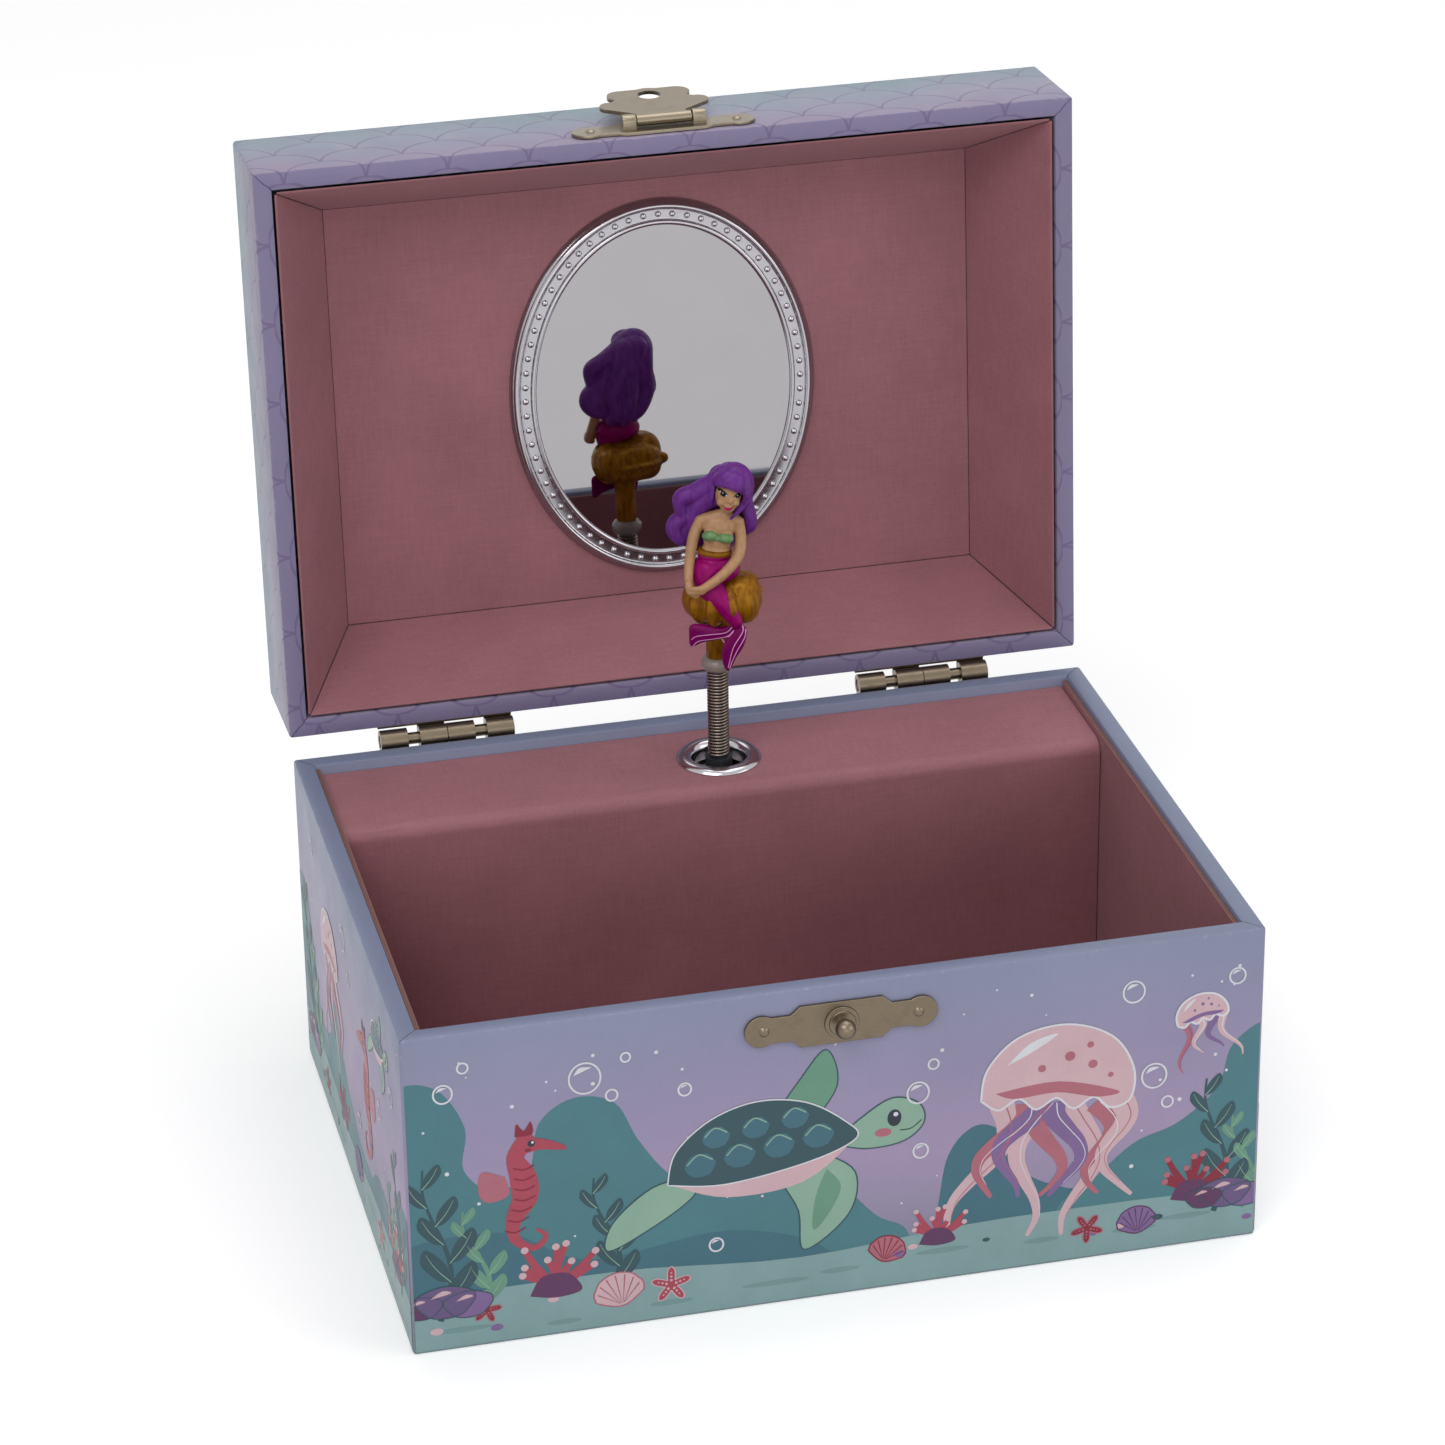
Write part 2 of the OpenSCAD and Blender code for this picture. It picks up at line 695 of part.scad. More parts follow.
// Point of the mainspring's spiral at angle a, offset sideways by w.
function coil_point(a, w) = [(hub_r() + 0.35 + w + a / 360 * 1.15) * cos(a), (hub_r() + 0.35 + w + a / 360 * 1.15) * sin(a)];

// Radius of the arbor's hub inside the housing.
function hub_r() = arbor_r + 1;

module mainspring() {
    turns = 360 * 5;
    step = 15;
    y0 = housing_y + housing_t + 0.4;
    color([0.35, 0.38, 0.45]) translate([axis_x, bed_face - 0.4, arbor_z]) rotate([90, 0, 0])
        linear_extrude(height = bed_face - 0.4 - y0)
            polygon(concat([for (a = [0:step:turns]) coil_point(a, 0)],
                [for (a = [turns:-step:0]) coil_point(a, 0.3)]));
}

module winding_arbor() {
    front = crown_disc - 1.6;
    color([0.72, 0.70, 0.66]) translate([axis_x, 0, arbor_z]) {
        translate([0, front, 0]) rod_y(arbor_r, key_out + key_hub_len - 2 - front);
        translate([0, housing_y + housing_t + 0.2, 0])
            rod_y(hub_r(), bed_face - housing_y - housing_t - 0.4);
    }
}

// Crown wheel: disc with face teeth in mesh with the drum's pinion.
module crown_wheel() {
    color([0.74, 0.66, 0.42]) translate([axis_x, crown_disc, arbor_z]) difference() {
        union() {
            rod_y(crown_rp + 1.2, crown_t);
            for (i = [0:crown_n - 1]) rotate([0, (i + 0.5) * 360 / crown_n, 0]) translate([0, 0, crown_rp - 1])
                linear_extrude(height = 2)
                    polygon([[-0.27, 0.2], [-0.14, -tooth_in - tooth_out], [0.14, -tooth_in - tooth_out], [0.27, 0.2]]);
        }
        translate([0, -3, 0]) rod_y(arbor_r + run, crown_t + 6);
    }
}

module crown_washer() {
    color([0.40, 0.40, 0.42]) translate([axis_x, crown_disc - 0.9, arbor_z]) difference() {
        rod_y(arbor_r + 1.1, 0.7);
        translate([0, -1, 0]) rod_y(arbor_r + drive, 3);
    }
}

// Key with a hub on the arbor and two rounded wings.
module winding_key() {
    reach = key_w / 2 - key_wing_r;
    color([0.66, 0.62, 0.54]) translate([axis_x, key_out, arbor_z]) difference() {
        union() {
            rod_y(key_hub_r, key_hub_len);
            translate([-key_wing_t / 2, 0, 0]) rotate([90, 0, 90]) linear_extrude(height = key_wing_t) {
                for (s = [-1, 1]) translate([2 * key_wing_r, s * reach]) circle(r = key_wing_r);
                translate([key_hub_len - 2, -reach]) square([7, 2 * reach]);
            }
        }
        translate([0, -1, 0]) rod_y(arbor_r + drive, key_hub_len - 0.8);
    }
}

module music_drum() {
    color([0.78, 0.70, 0.46]) translate([axis_x, axis_y, drum_lo]) difference() {
        cylinder(r = drum_r, h = drum_h);
        translate([0, 0, 1]) cylinder(r = drum_r - drum_wall, h = drum_h - 2);
        translate([0, 0, -1]) cylinder(r = drum_arbor_r + drive, h = drum_h + 2);
        at_drum_pins() cylinder(r = pin_r + drive, h = drum_wall + 1);
    }
}

// Places of the drum's pins: each track has a few, at angles that follow a rule.
module at_drum_pins() {
    for (t = [0:tracks - 1]) for (k = [0:2])
        rotate([0, 0, 8 + (t * 53 + k * 115 + t * k * 3) % 344]) translate([drum_r - drum_wall, 0, drum_end + (t + 0.5) * track_pitch])
            rotate([0, 90, 0]) children();
}

module drum_pins() {
    color([0.80, 0.80, 0.78]) translate([axis_x, axis_y, drum_lo])
        at_drum_pins() cylinder(r = pin_r, h = drum_wall + pin_out, $fn = 16);
}

module drum_arbor() {
    color([0.72, 0.72, 0.72]) translate([axis_x, axis_y, 0])
        translate([0, 0, strap_z - 0.6]) cylinder(r = drum_arbor_r, h = hub_top + plug_len - strap_z + 0.2);
}

module drum_pinion() {
    color([0.78, 0.70, 0.46]) translate([axis_x, axis_y, pinion_z - pinion_h / 2])
        spur(pinion_n, pinion_h, drum_arbor_r + drive, 90);
}

module drum_wheel() {
    color([0.78, 0.70, 0.46]) translate([axis_x, axis_y, wheel_z])
        spur(wheel_n, gear_t, drum_arbor_r + drive, 0);
}

// Black hub on the top of the drum's arbor, on which the coil spring stands.
module spring_hub() {
    color([0.12, 0.12, 0.13]) translate([axis_x, axis_y, 0]) difference() {
        union() {
            translate([0, 0, top_arm_z + arm_t + 0.2]) cylinder(r = spring_r + 0.45, h = hub_top - top_arm_z - arm_t - 0.2);
            translate([0, 0, hub_top - eps]) cylinder(r = plug_r, h = plug_len);
        }
        translate([0, 0, top_arm_z]) cylinder(r = drum_arbor_r + drive, h = hub_top + plug_len - 0.38 - top_arm_z);
    }
}

// Strap in front of the crown wheel that carries the drum arbor's lower end.
module drum_bracket() {
    z1 = strap_z + strap_t;
    x = strap_in;
    front = axis_y - 2.8;
    back = crown_y - tooth_out - 0.45;
    color([0.70, 0.68, 0.66]) difference() {
        translate([axis_x, 0, 0]) {
            block([-x - 1.2, front, strap_z], [x + 1.2, back, z1]);
            for (s = [-1, 1]) {
                block([s > 0 ? x : -x - 1.2, front, strap_z - 2], [s > 0 ? x + 1.2 : -x, bed_face, strap_z + 2]);
                block([s > 0 ? x : -x - 5, bed_face - 1, strap_z - 2], [s > 0 ? x + 5 : -x, bed_face, strap_z + 2]);
            }
        }
        translate([axis_x, axis_y, strap_z - 3]) cylinder(r = drum_arbor_r + run, h = 8);
        for (p = bracket_holes()) translate([p[0], bed_face - 3, p[1]]) rod_y(screw_r + drive, 5);
    }
}

module comb() {
    lo = drum_lo + drum_end;
    color([0.60, 0.62, 0.64]) translate([axis_x, axis_y - comb_t / 2, 0]) difference() {
        block([comb_tip, 0, lo], [comb_end, comb_t, lo + tracks * track_pitch]);
        for (i = [0:tracks]) translate([0, 0, lo + i * track_pitch])
            block([comb_tip - 1, -1, -0.14], [comb_root, comb_t + 1, 0.14]);
        for (z = comb_holes()) translate([comb_end - comb_screw_in, -1, z]) rod_y(screw_r + drive, 3);
    }
}

// Heights of the comb's two screws.
function comb_holes() = [for (part = [0.2, 0.8]) drum_lo + drum_end + tracks * track_pitch * part];

module comb_riser() {
    lo = drum_lo + drum_end;
    color([0.66, 0.64, 0.62]) translate([axis_x, 0, 0]) difference() {
        block([comb_root + 2, axis_y + comb_t / 2, lo], [comb_end, bed_face, lo + tracks * track_pitch]);
        for (z = comb_holes()) translate([comb_end - comb_screw_in, axis_y, z]) rod_y(screw_r + drive, 20);
    }
}

module comb_screws() {
    color([0.76, 0.76, 0.76]) for (z = comb_holes())
        translate([axis_x + comb_end - comb_screw_in, axis_y - comb_t / 2, z])
            fastener(screw_r, bed_face + 1 - axis_y + comb_t / 2, screw_head_r, screw_head_h, screw_head_r - 0.2);
}

// Screw places (x, z) of the drum bracket's feet and the governor bracket's back tab.
function bracket_holes() = [[axis_x - strap_in - 3.2, strap_z], [axis_x + strap_in + 3.2, strap_z],
    [gov_x - 4.2, gov_wheel_z - 4.3], [axis_x + 3, gov_wheel_z + 0.6]];

// Bent bracket that carries the governor's pivots and the drum arbor's upper end.
module governor_bracket() {
    tab_y = bed_face - 1.2;
    front_arm = axis_y - 4.8;
    low_z = wheel_z - 3;
    top_z = top_arm_z + arm_t;
    worm_lo = worm_x - 2.4;
    color([0.72, 0.70, 0.68]) difference() {
        union() {
            block([worm_lo, tab_y, low_z], [axis_x + 5, bed_face, top_z]);
            block([gov_x - 2.4, front_arm, top_arm_z], [axis_x + 3, bed_face, top_z]);
            block([gov_x - 2.4, axis_y - 2.4, low_z], [gov_x + 1.6, bed_face, low_z + arm_t]);
            block([worm_lo, front_arm, top_arm_z], [gov_x, front_arm + arm_t, top_z]);
            block([worm_lo, front_arm, worm_z - 2], [worm_x + 2.4, front_arm + arm_t, top_z]);
        }
        translate([axis_x, axis_y, top_arm_z - 1]) cylinder(r = drum_arbor_r + run, h = 4);
        translate([gov_x, axis_y, low_z - 1]) cylinder(r = 0.6 + run, h = 20);
        translate([worm_x, front_arm - 1, worm_z]) rod_y(0.6 + run, 20);
        for (p = bracket_holes()) translate([p[0], tab_y - 2, p[1]]) rod_y(screw_r + drive, 5);
    }
}

module bracket_screws() {
    n = len(bracket_holes());
    color([0.76, 0.76, 0.76]) for (i = [0:n - 1]) {
        p = bracket_holes()[i];
        head = bed_face - (i < 2 ? 1 : 1.2);
        translate([p[0], head, p[1]])
            fastener(screw_r, bed_face - head + 1, screw_head_r, screw_head_h, screw_head_r - 0.2);
    }
}

module governor_arbor() {
    color([0.78, 0.70, 0.46]) translate([gov_x, axis_y, 0]) {
        translate([0, 0, wheel_z - 2.8]) cylinder(r = 0.6, h = top_arm_z + arm_t - wheel_z + 2.6);
        translate([0, 0, wheel_z - 0.2]) spur(gov_pinion_n, gear_t + 0.4, 0.4, 180 / gov_pinion_n);
    }
}

// Worm wheel with teeth leaning at the worm's lead angle.
module governor_wheel() {
    lead = atan(gear_m * worm_starts / (2 * worm_rp));
    root = gov_wheel_rp - tooth_in;
    color([0.20, 0.20, 0.22]) translate([gov_x, axis_y, gov_wheel_z]) difference() {
        union() {
            cylinder(r = root, h = gear_t);
            for (i = [0:gov_wheel_n - 1]) rotate([0, 0, i * 360 / gov_wheel_n])
                translate([root - 0.2, 0, gear_t / 2]) rotate([-lead, 0, 0])
                    translate([0, -0.22, -gear_t * 0.45]) cube([tooth_in + tooth_out + 0.2, 0.44, gear_t * 0.9]);
        }
        translate([0, 0, -1]) cylinder(r = 0.6 + drive, h = gear_t + 2);
    }
}

// Worm with its shaft along Y.
module worm_shaft() {
    front = axis_y - 4.8;
    lead = PI * gear_m * worm_starts;
    worm_len = 4.8;
    root = worm_rp - tooth_in;
    color([0.66, 0.66, 0.68]) translate([worm_x, 0, worm_z]) {
        translate([0, front + 0.2, 0]) rod_y(0.6, bed_face - 0.4 - front - 0.2);
        translate([0, axis_y - worm_len / 2, 0]) rod_y(root, worm_len);
        translate([0, axis_y + worm_len / 2, 0]) rotate([90, 0, 0])
            linear_extrude(height = worm_len, twist = -360 * worm_len / lead, slices = 28)
                for (i = [0:worm_starts - 1]) rotate([0, 0, i * 360 / worm_starts + 90 - 180 * worm_len / lead])
                    polygon([[0, -0.5], [root, -0.6], [worm_rp + tooth_out, -0.42], [worm_rp + tooth_out, 0.42],
                        [root, 0.6], [0, 0.5]]);
    }
}

module governor_fan() {
    y0 = axis_y + gov_wheel_rp + 0.9;
    color([0.80, 0.80, 0.82]) translate([worm_x, y0, worm_z]) difference() {
        union() {
            rod_y(1.1, 2.2);
            block([-0.25, 0.1, -3.4], [0.25, 2.1, 3.4]);
        }
        translate([0, -1, 0]) rod_y(0.6 + drive, 5);
    }
}

// ---- Figure ----

module coil_spring() {
    color([0.62, 0.56, 0.46]) translate([axis_x, axis_y, hub_top]) rotate_extrude()
        for (i = [0:coils - 1]) translate([spring_r - wire_r, wire_r + i * coil_pitch]) circle(r = wire_r, $fn = 24);
}

module spring_collar() {
    color([0.78, 0.75, 0.74]) translate([axis_x, axis_y, collar_z]) difference() {
        union() {
            cylinder(r1 = spring_r + 0.2, r2 = collar_r, h = 0.8);
            translate([0, 0, 0.8 - eps]) cylinder(r = collar_r, h = collar_h - 1.6 + 2 * eps);
            translate([0, 0, collar_h - 0.8]) cylinder(r1 = collar_r, r2 = collar_r - 0.6, h = 0.8);
            translate([0, 0, -plug_len]) cylinder(r = plug_r, h = plug_len + eps);
        }
        translate([0, 0, 0.4]) cylinder(r = spigot_r + run, h = collar_h);
    }
}

// Turns a piece drawn facing straight ahead to where the figure faces, about its axis.
module on_seat() {
    translate([axis_x, axis_y, seat_z]) rotate([0, 0, -figure_turn]) scale(figure_scale) children();
}

// Place on the figure: sideways, forwards and up from the axis at the seat's underside.
module fig(p) {
    translate([p[0], -p[1], p[2]]) children();
}

// Rounded limb between two places.
module limb(a, ra, b, rb) {
    hull() {
        fig(a) sphere(r = ra, $fn = 14);
        fig(b) sphere(r = rb, $fn = 14);
    }
}

// Egg-shaped mass with the given half sizes.
module egg(p, half) {
    fig(p) scale(half / 10) sphere(r = 10, $fn = 20);
}

// Flat blade of the tail fin, drawn round a row of places.
module blade(places, r) {
    hull() for (p = places) fig(p) sphere(r = r, $fn = 12);
}

// Post that carries the seat and turns with a spigot in the collar.
module seat_post() {
    shoulder_z = collar_z + collar_h + 0.1;
    color([0.62, 0.42, 0.10]) translate([axis_x, axis_y, 0]) {
        translate([0, 0, collar_z + 0.45]) cylinder(r = spigot_r, h = collar_h);
        translate([0, 0, shoulder_z]) cylinder(r = post_r, h = seat_z + post_in - shoulder_z);
    }
}

// Clam shell seat, hollowed where the figure sits on it.
module clam_seat() {
    color([0.62, 0.42, 0.10]) difference() {
        on_seat() clam_body();
        translate([axis_x, axis_y, seat_z - 3]) cylinder(r = post_r + drive, h = post_in + 3.1);
        on_seat() mermaid_solid(0.05);
    }
}

// Bulging valves with nine broad ribs, a rim between them and a knob at the hinge.
module clam_body() {
    centre = [1, 0.2, 5.6];
    egg(centre, [7, 6, 3.9]);
    egg(centre, [7.5, 6.5, 1.3]);
    fig(centre) for (a = [90:30:330]) rotate([0, 0, a]) translate([3.7, 0, 0]) scale([3.7, 1.9, 3.4] / 10)
        sphere(r = 10, $fn = 16);
    limb([5.6, -1.8, 5.8], 2, [7.4, -2.6, 6], 1);
}

// Mermaid sitting on the clam, her tail bent at the knee and its fin in front of the post.
module mermaid_solid(grow) {
    g = grow;
    // torso, neck and head
    egg([0.4, 1.3, 12.4], [4 + g, 2.9 + g, 3.1 + g]);
    limb([0.1, 1.5, 13.4], 2.4 + g, [0.9, 1.1, 19.6], 2.3 + g);
    limb([-2.1, 0.8, 21.3], 1.2 + g, [4, 0.8, 20.7], 1.2 + g);
    limb([1.6, 0.9, 22], 1.1 + g, [2.2, 1.3, 24.6], 1.1 + g);
    egg([2.6, 1.4, 26.8], [2.5 + g, 2.8 + g, 3.1 + g]);
    // arms, with the hands together on the knee
    limb([-2.6, 0.8, 21.2], 1.05 + g, [-4.2, 1.6, 13.6], 0.95 + g);
    limb([-4.2, 1.6, 13.6], 0.95 + g, [-3.9, 5, 9], 0.9 + g);
    limb([4.2, 0.8, 20.6], 1.05 + g, [4, 2.3, 14], 0.95 + g);
    limb([4, 2.3, 14], 0.95 + g, [-3.2, 5.6, 8.6], 0.9 + g);
    // tail: thighs forward, shins down, then the two lobes of the fin
    limb([0.4, 1.4, 11.8], 3.1 + g, [-1.2, 4.4, 9.6], 2.3 + g);
    limb([-1.2, 4.4, 9.6], 2.2 + g, [3.5, 5.6, 3.4], 1.1 + g);
    blade([[3.2, 5.5, 3], [-3.9, 4.5, 1.6], [-4.4, 4.4, -1.2], [1.6, 5.2, 0.4]], 0.6 + g);
    blade([[3.6, 5.6, 3.4], [5.5, 5.5, 1.2], [5.1, 5.5, -1.2], [2.6, 5.5, -6.2], [2.2, 5.4, -3]], 0.6 + g);
    // hair: cap, big wave to the left, waves down the back, lock over the right shoulder
    egg([3.2, -0.3, 27.4], [4 + g, 4 + g, 4.3 + g]);
    limb([0.6, -0.8, 27], 2.5 + g, [-4.7, -0.9, 25.1], 1.9 + g);
    limb([-4.7, -0.9, 25.1], 1.9 + g, [-6.5, -0.7, 18.2], 2.4 + g);
    limb([2, -1.6, 25], 3 + g, [-1.8, -2.6, 16], 2.3 + g);
    limb([2.8, -1.4, 25], 2.8 + g, [3.4, -2.4, 16], 2 + g);
    limb([5.6, -0.6, 25.4], 1.6 + g, [6.1, -0.7, 19.4], 1.3 + g);
}

module mermaid_figure() {
    color([0.55, 0.15, 0.50]) on_seat() mermaid_solid(0);
}

base_walls();
base_floor();
base_lining();
compartment_floor();
mechanism_cover();
eyelet();
base_hinge_leaves();
base_hinge_nails();
hinge_pins();
catch_plate();
catch_stud();
catch_plate_pins();
lid_walls();
lid_top_board();
lid_lining();
mirror_glass();
mirror_frame();
lid_hinge_leaves();
lid_hinge_nails();
hasp_plate();
hasp_plate_pins();
hasp_pin();
hasp_leaf();
bedplate();
bedplate_screws();
spring_housing();
mainspring();
crown_wheel();
winding_arbor();
crown_washer();
winding_key();
music_drum();
drum_pins();
drum_arbor();
drum_pinion();
drum_wheel();
spring_hub();
drum_bracket();
comb();
comb_riser();
comb_screws();
governor_bracket();
bracket_screws();
governor_arbor();
governor_wheel();
worm_shaft();
governor_fan();
coil_spring();
spring_collar();
seat_post();
clam_seat();
mermaid_figure();
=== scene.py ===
"""Looks of a musical jewellery box: printed paper over board, woven lining card, nickel fittings,
an oval mirror in an embossed frame, and a painted mermaid on a clam seat above a coil spring.
Numbers are millimetres unless a line says otherwise; the lid's pieces are made as if it were closed."""

import random
from contextlib import contextmanager
from math import copysign, cos, degrees, dist, hypot, pi, radians, sin

import bmesh
import bpy
from mathutils import Matrix, Vector, geometry
from mathutils.bvhtree import BVHTree


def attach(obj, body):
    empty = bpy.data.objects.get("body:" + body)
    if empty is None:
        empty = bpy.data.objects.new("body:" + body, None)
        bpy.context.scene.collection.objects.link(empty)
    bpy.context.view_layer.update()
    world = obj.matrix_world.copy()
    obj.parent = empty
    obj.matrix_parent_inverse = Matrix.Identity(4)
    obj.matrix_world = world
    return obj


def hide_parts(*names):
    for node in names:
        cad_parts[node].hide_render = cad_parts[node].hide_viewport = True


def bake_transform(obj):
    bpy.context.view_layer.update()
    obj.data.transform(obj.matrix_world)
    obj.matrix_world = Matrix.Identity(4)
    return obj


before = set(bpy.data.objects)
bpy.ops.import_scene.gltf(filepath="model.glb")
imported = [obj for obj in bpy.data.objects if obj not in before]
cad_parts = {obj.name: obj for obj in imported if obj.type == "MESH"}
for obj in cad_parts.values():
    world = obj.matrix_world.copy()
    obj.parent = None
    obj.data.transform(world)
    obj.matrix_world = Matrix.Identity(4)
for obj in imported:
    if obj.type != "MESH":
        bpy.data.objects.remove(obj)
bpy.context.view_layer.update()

MM = 0.001
HALF_W, HALF_D = 75, 53.5
BASE_H, LID_H, WALL, TOP_T = 61, 23, 3.5, 3
RIM_Z = BASE_H + 0.3
LID_TOP = RIM_Z + LID_H
PANEL_Z = LID_TOP - TOP_T - 0.8  # underside of the card that carries the mirror
SKIN = 0.12                      # room left outside a board face for the printed layers
PRINT_DEPTH = 0.76               # how dark the laminate leaves the printed colours
PAPER_THREAD, LINING_THREAD = 0.34, 0.42
LINING_X, LINING_Y = 70.5, 49
LEDGE_TOP, LEDGE_FRONT, LEDGE_R, LEDGE_BACK = 59, 25.5, 2.6, 49.8
AXIS_X, AXIS_Y, ARBOR_Z = 1.2, 37.8, 16.5
HUB_TOP, SPRING_TOP, SEAT_Z = 59.5, 76.885, 85.485
COLLAR_Z, COLLAR_H, COLLAR_R = 76.985, 2.6, 2.9
FIGURE_TURN = 13.3
ARBOR_HOLE_R, SPRING_HOLE_R = 3, 5.35
HINGE_Y, HINGE_Z, OPEN_ANGLE = 56, 61.15, 94
HASP_Y, HASP_Z, HASP_LEAN = -55.3, 65.6, 5
CATCH_Z = 54.1
MIRROR_X, MIRROR_RX, MIRROR_RY = 1.3, 28.2, 35.65


def turned(angle, axis="X", at=(0, 0, 0)):
    """Turn by degrees about an axis of its own, then a move to at."""
    return Matrix.Translation(Vector(at) * MM) @ Matrix.Rotation(radians(angle), 4, axis)


def turn_x(angle, y, z):
    """Turn about a line along X through (y, z)."""
    there = Matrix.Translation((0, y * MM, z * MM))
    return there @ Matrix.Rotation(radians(angle), 4, "X") @ there.inverted()


LID = turn_x(-OPEN_ANGLE, HINGE_Y, HINGE_Z)
HASP = LID @ turn_x(HASP_LEAN - 180, HASP_Y, HASP_Z)
SEAT = turned(-FIGURE_TURN, "Z", (AXIS_X, AXIS_Y, SEAT_Z))
PLACES = {"lid": LID, "hasp": HASP, "figure": SEAT}


# ---- Materials ----

def rgb(r, g, b):
    """A colour written as sRGB 0-255, as Blender's linear values."""
    return tuple(((c / 255 + 0.055) / 1.055) ** 2.4 if c > 10 else c / 255 / 12.92
                 for c in (r, g, b)) + (1.0,)


def maths(operation):
    return lambda self, *others: self.graph.math(operation, self, *others)


class Value:
    """Output of a node; arithmetic on it adds maths nodes, and a comparison gives 1 or 0."""

    def __init__(self, graph, socket):
        self.graph, self.socket = graph, socket

    __add__ = maths("ADD")
    __sub__ = maths("SUBTRACT")
    __mul__ = maths("MULTIPLY")
    __truediv__ = maths("DIVIDE")
    __mod__ = maths("MODULO")
    __abs__ = maths("ABSOLUTE")
    __gt__ = maths("GREATER_THAN")
    __lt__ = maths("LESS_THAN")
    min, max = maths("MINIMUM"), maths("MAXIMUM")
    floor, fract, sqrt = maths("FLOOR"), maths("FRACT"), maths("SQRT")

    def __rsub__(self, other):
        return self.graph.math("SUBTRACT", other, self)


class Nodes:
    """A node tree, with short calls for the nodes used here."""

    def __init__(self, tree):
        self.tree = tree

    def put(self, value, socket):
        if isinstance(value, Value):
            self.tree.links.new(value.socket, socket)
        else:
            socket.default_value = value

    def node(self, kind, values, out=0, **settings):
        """Adds a node, fills its inputs by name or number, and gives one of its outputs."""
        made = self.tree.nodes.new("ShaderNode" + kind)
        for key, value in settings.items():
            setattr(made, key, value)
        for key, value in values.items():
            self.put(value, made.inputs[key])
        return Value(self, made.outputs[out])

    def math(self, operation, *values):
        return self.node("Math", dict(enumerate(values)), operation=operation)

    def span(self, value, low, high, out_low=0, out_high=1, kind="SMOOTHSTEP"):
        values = dict(enumerate((value, low, high, out_low, out_high)))
        return self.node("MapRange", values, interpolation_type=kind)

    def mix(self, part, a, b, blend="MIX"):
        return self.node("Mix", {"Factor": part, "A": a, "B": b}, 2, data_type="RGBA", blend_type=blend)

    def pick(self, part, a, b):
        """a where part is 0, b where it is 1."""
        return a * (1 - part) + b * part

    def shown(self):
        """1 for rays from the camera, a mirror or clear plastic, 0 for light on its way to a surface."""
        path = self.node("LightPath", {}).socket.node.outputs
        camera, glossy, clear = [Value(self, path[kind]) for kind in
                                 ("Is Camera Ray", "Is Glossy Ray", "Is Transmission Ray")]
        return camera.max(glossy.max(clear))


class Graph(Nodes):
    """Node tree of a material; its textures run in millimetres of the object's own space."""

    def __init__(self, name, rough=0.5, metal=0, specular=0.5):
        self.mat = bpy.data.materials.new(name)
        self.mat.use_nodes = True
        super().__init__(self.mat.node_tree)
        self.bsdf = self.tree.nodes["Principled BSDF"]
        self.set(Roughness=rough, Metallic=metal, Specular_IOR_Level=specular)
        self.at = self.vector("MULTIPLY", self.node("TexCoord", {}, "Object"), (1000, 1000, 1000))

    def set(self, **values):
        """Fills the shader's sockets; an underscore stands for the space in a socket's name."""
        for name, value in values.items():
            self.put(value, self.bsdf.inputs[name.replace("_", " ")])

    def vector(self, operation, *values):
        return self.node("VectorMath", dict(enumerate(values)), "Vector", operation=operation)

    def axes(self):
        split = self.node("SeparateXYZ", {0: self.at})
        return [Value(self, socket) for socket in split.socket.node.outputs]

    def noise(self, scale, detail=2, rough=0.5, stretch=(1, 1, 1), seed=0):
        at = self.vector("MULTIPLY_ADD", self.at, stretch, (seed, seed * 1.7, seed * 0.6))
        values = {"Vector": at, "Scale": scale, "Detail": detail, "Roughness": rough}
        return self.node("TexNoise", values, "Fac")

    def ramp(self, part, *stops):
        made = self.node("ValToRGB", {0: part})
        elements = made.socket.node.color_ramp.elements
        while len(elements) < len(stops):
            elements.new(1)
        for element, (place, colour) in zip(elements, stops):
            element.position = place
            element.color = colour
        return made

    def dimmed(self, colour, grey):
        """A colour times a grey."""
        return self.mix(1, colour, self.node("CombineXYZ", {0: grey, 1: grey, 2: grey}), "MULTIPLY")

    def scaled(self, colour, low, high, part):
        """A colour times a grey that runs from low to high with part."""
        return self.dimmed(colour, self.span(part, 0.25, 0.75, low, high, "LINEAR"))

    def bump(self, height, depth):
        """Surface relief of the given depth."""
        self.set(Normal=self.node("Bump", {"Strength": 1, "Distance": depth * MM, "Height": height}))

    def weave(self, pitch):
        """Threads that run both ways over any upright, flat or end face."""
        fine, long = 1 / pitch, 0.08 / pitch
        runs = [self.noise(1, 1, 0.4, stretch, seed) for seed, stretch in
                enumerate(((long, fine, fine), (fine, long, fine), (fine, fine, long)))]
        return (runs[0] + runs[1] + runs[2]) * 0.333

    def from_sides(self):
        """Distances to the box's outer faces across x and y."""
        x, y, _ = self.axes()
        return HALF_W - abs(x), HALF_D - abs(y)


def scallops(g, u, v, width, step):
    """Part of a surface that lies on the lines of a fish-scale pattern."""
    radius = width / 2
    row = (v / step + (1 - radius / step)).floor()
    marks = []
    for k in (0, 1):
        above = row + k
        across = u / width + (above + 200) % 2 * 0.5
        du = ((across + 100).fract() - 0.5) * width
        dv = v - above * step
        marks.append((du * du + dv * dv).sqrt())
    lines = [g.span(abs(mark - radius), 0.12, 0.34, 1, 0) for mark in marks]
    return lines[0].max(lines[1] * (marks[0] > radius))


def laminate(g, colour, depth, height, coat):
    """Print under clear film: dimmed colour, a soft uneven gloss and the paper's emboss."""
    g.set(Base_Color=g.dimmed(colour, depth), Coat_Weight=coat, Coat_Roughness=0.3,
          Roughness=g.span(g.noise(0.12, 3, 0.6, seed=2), 0.2, 0.8, 0.38, 0.5))
    g.bump(height, 0.03)
    return g.mat


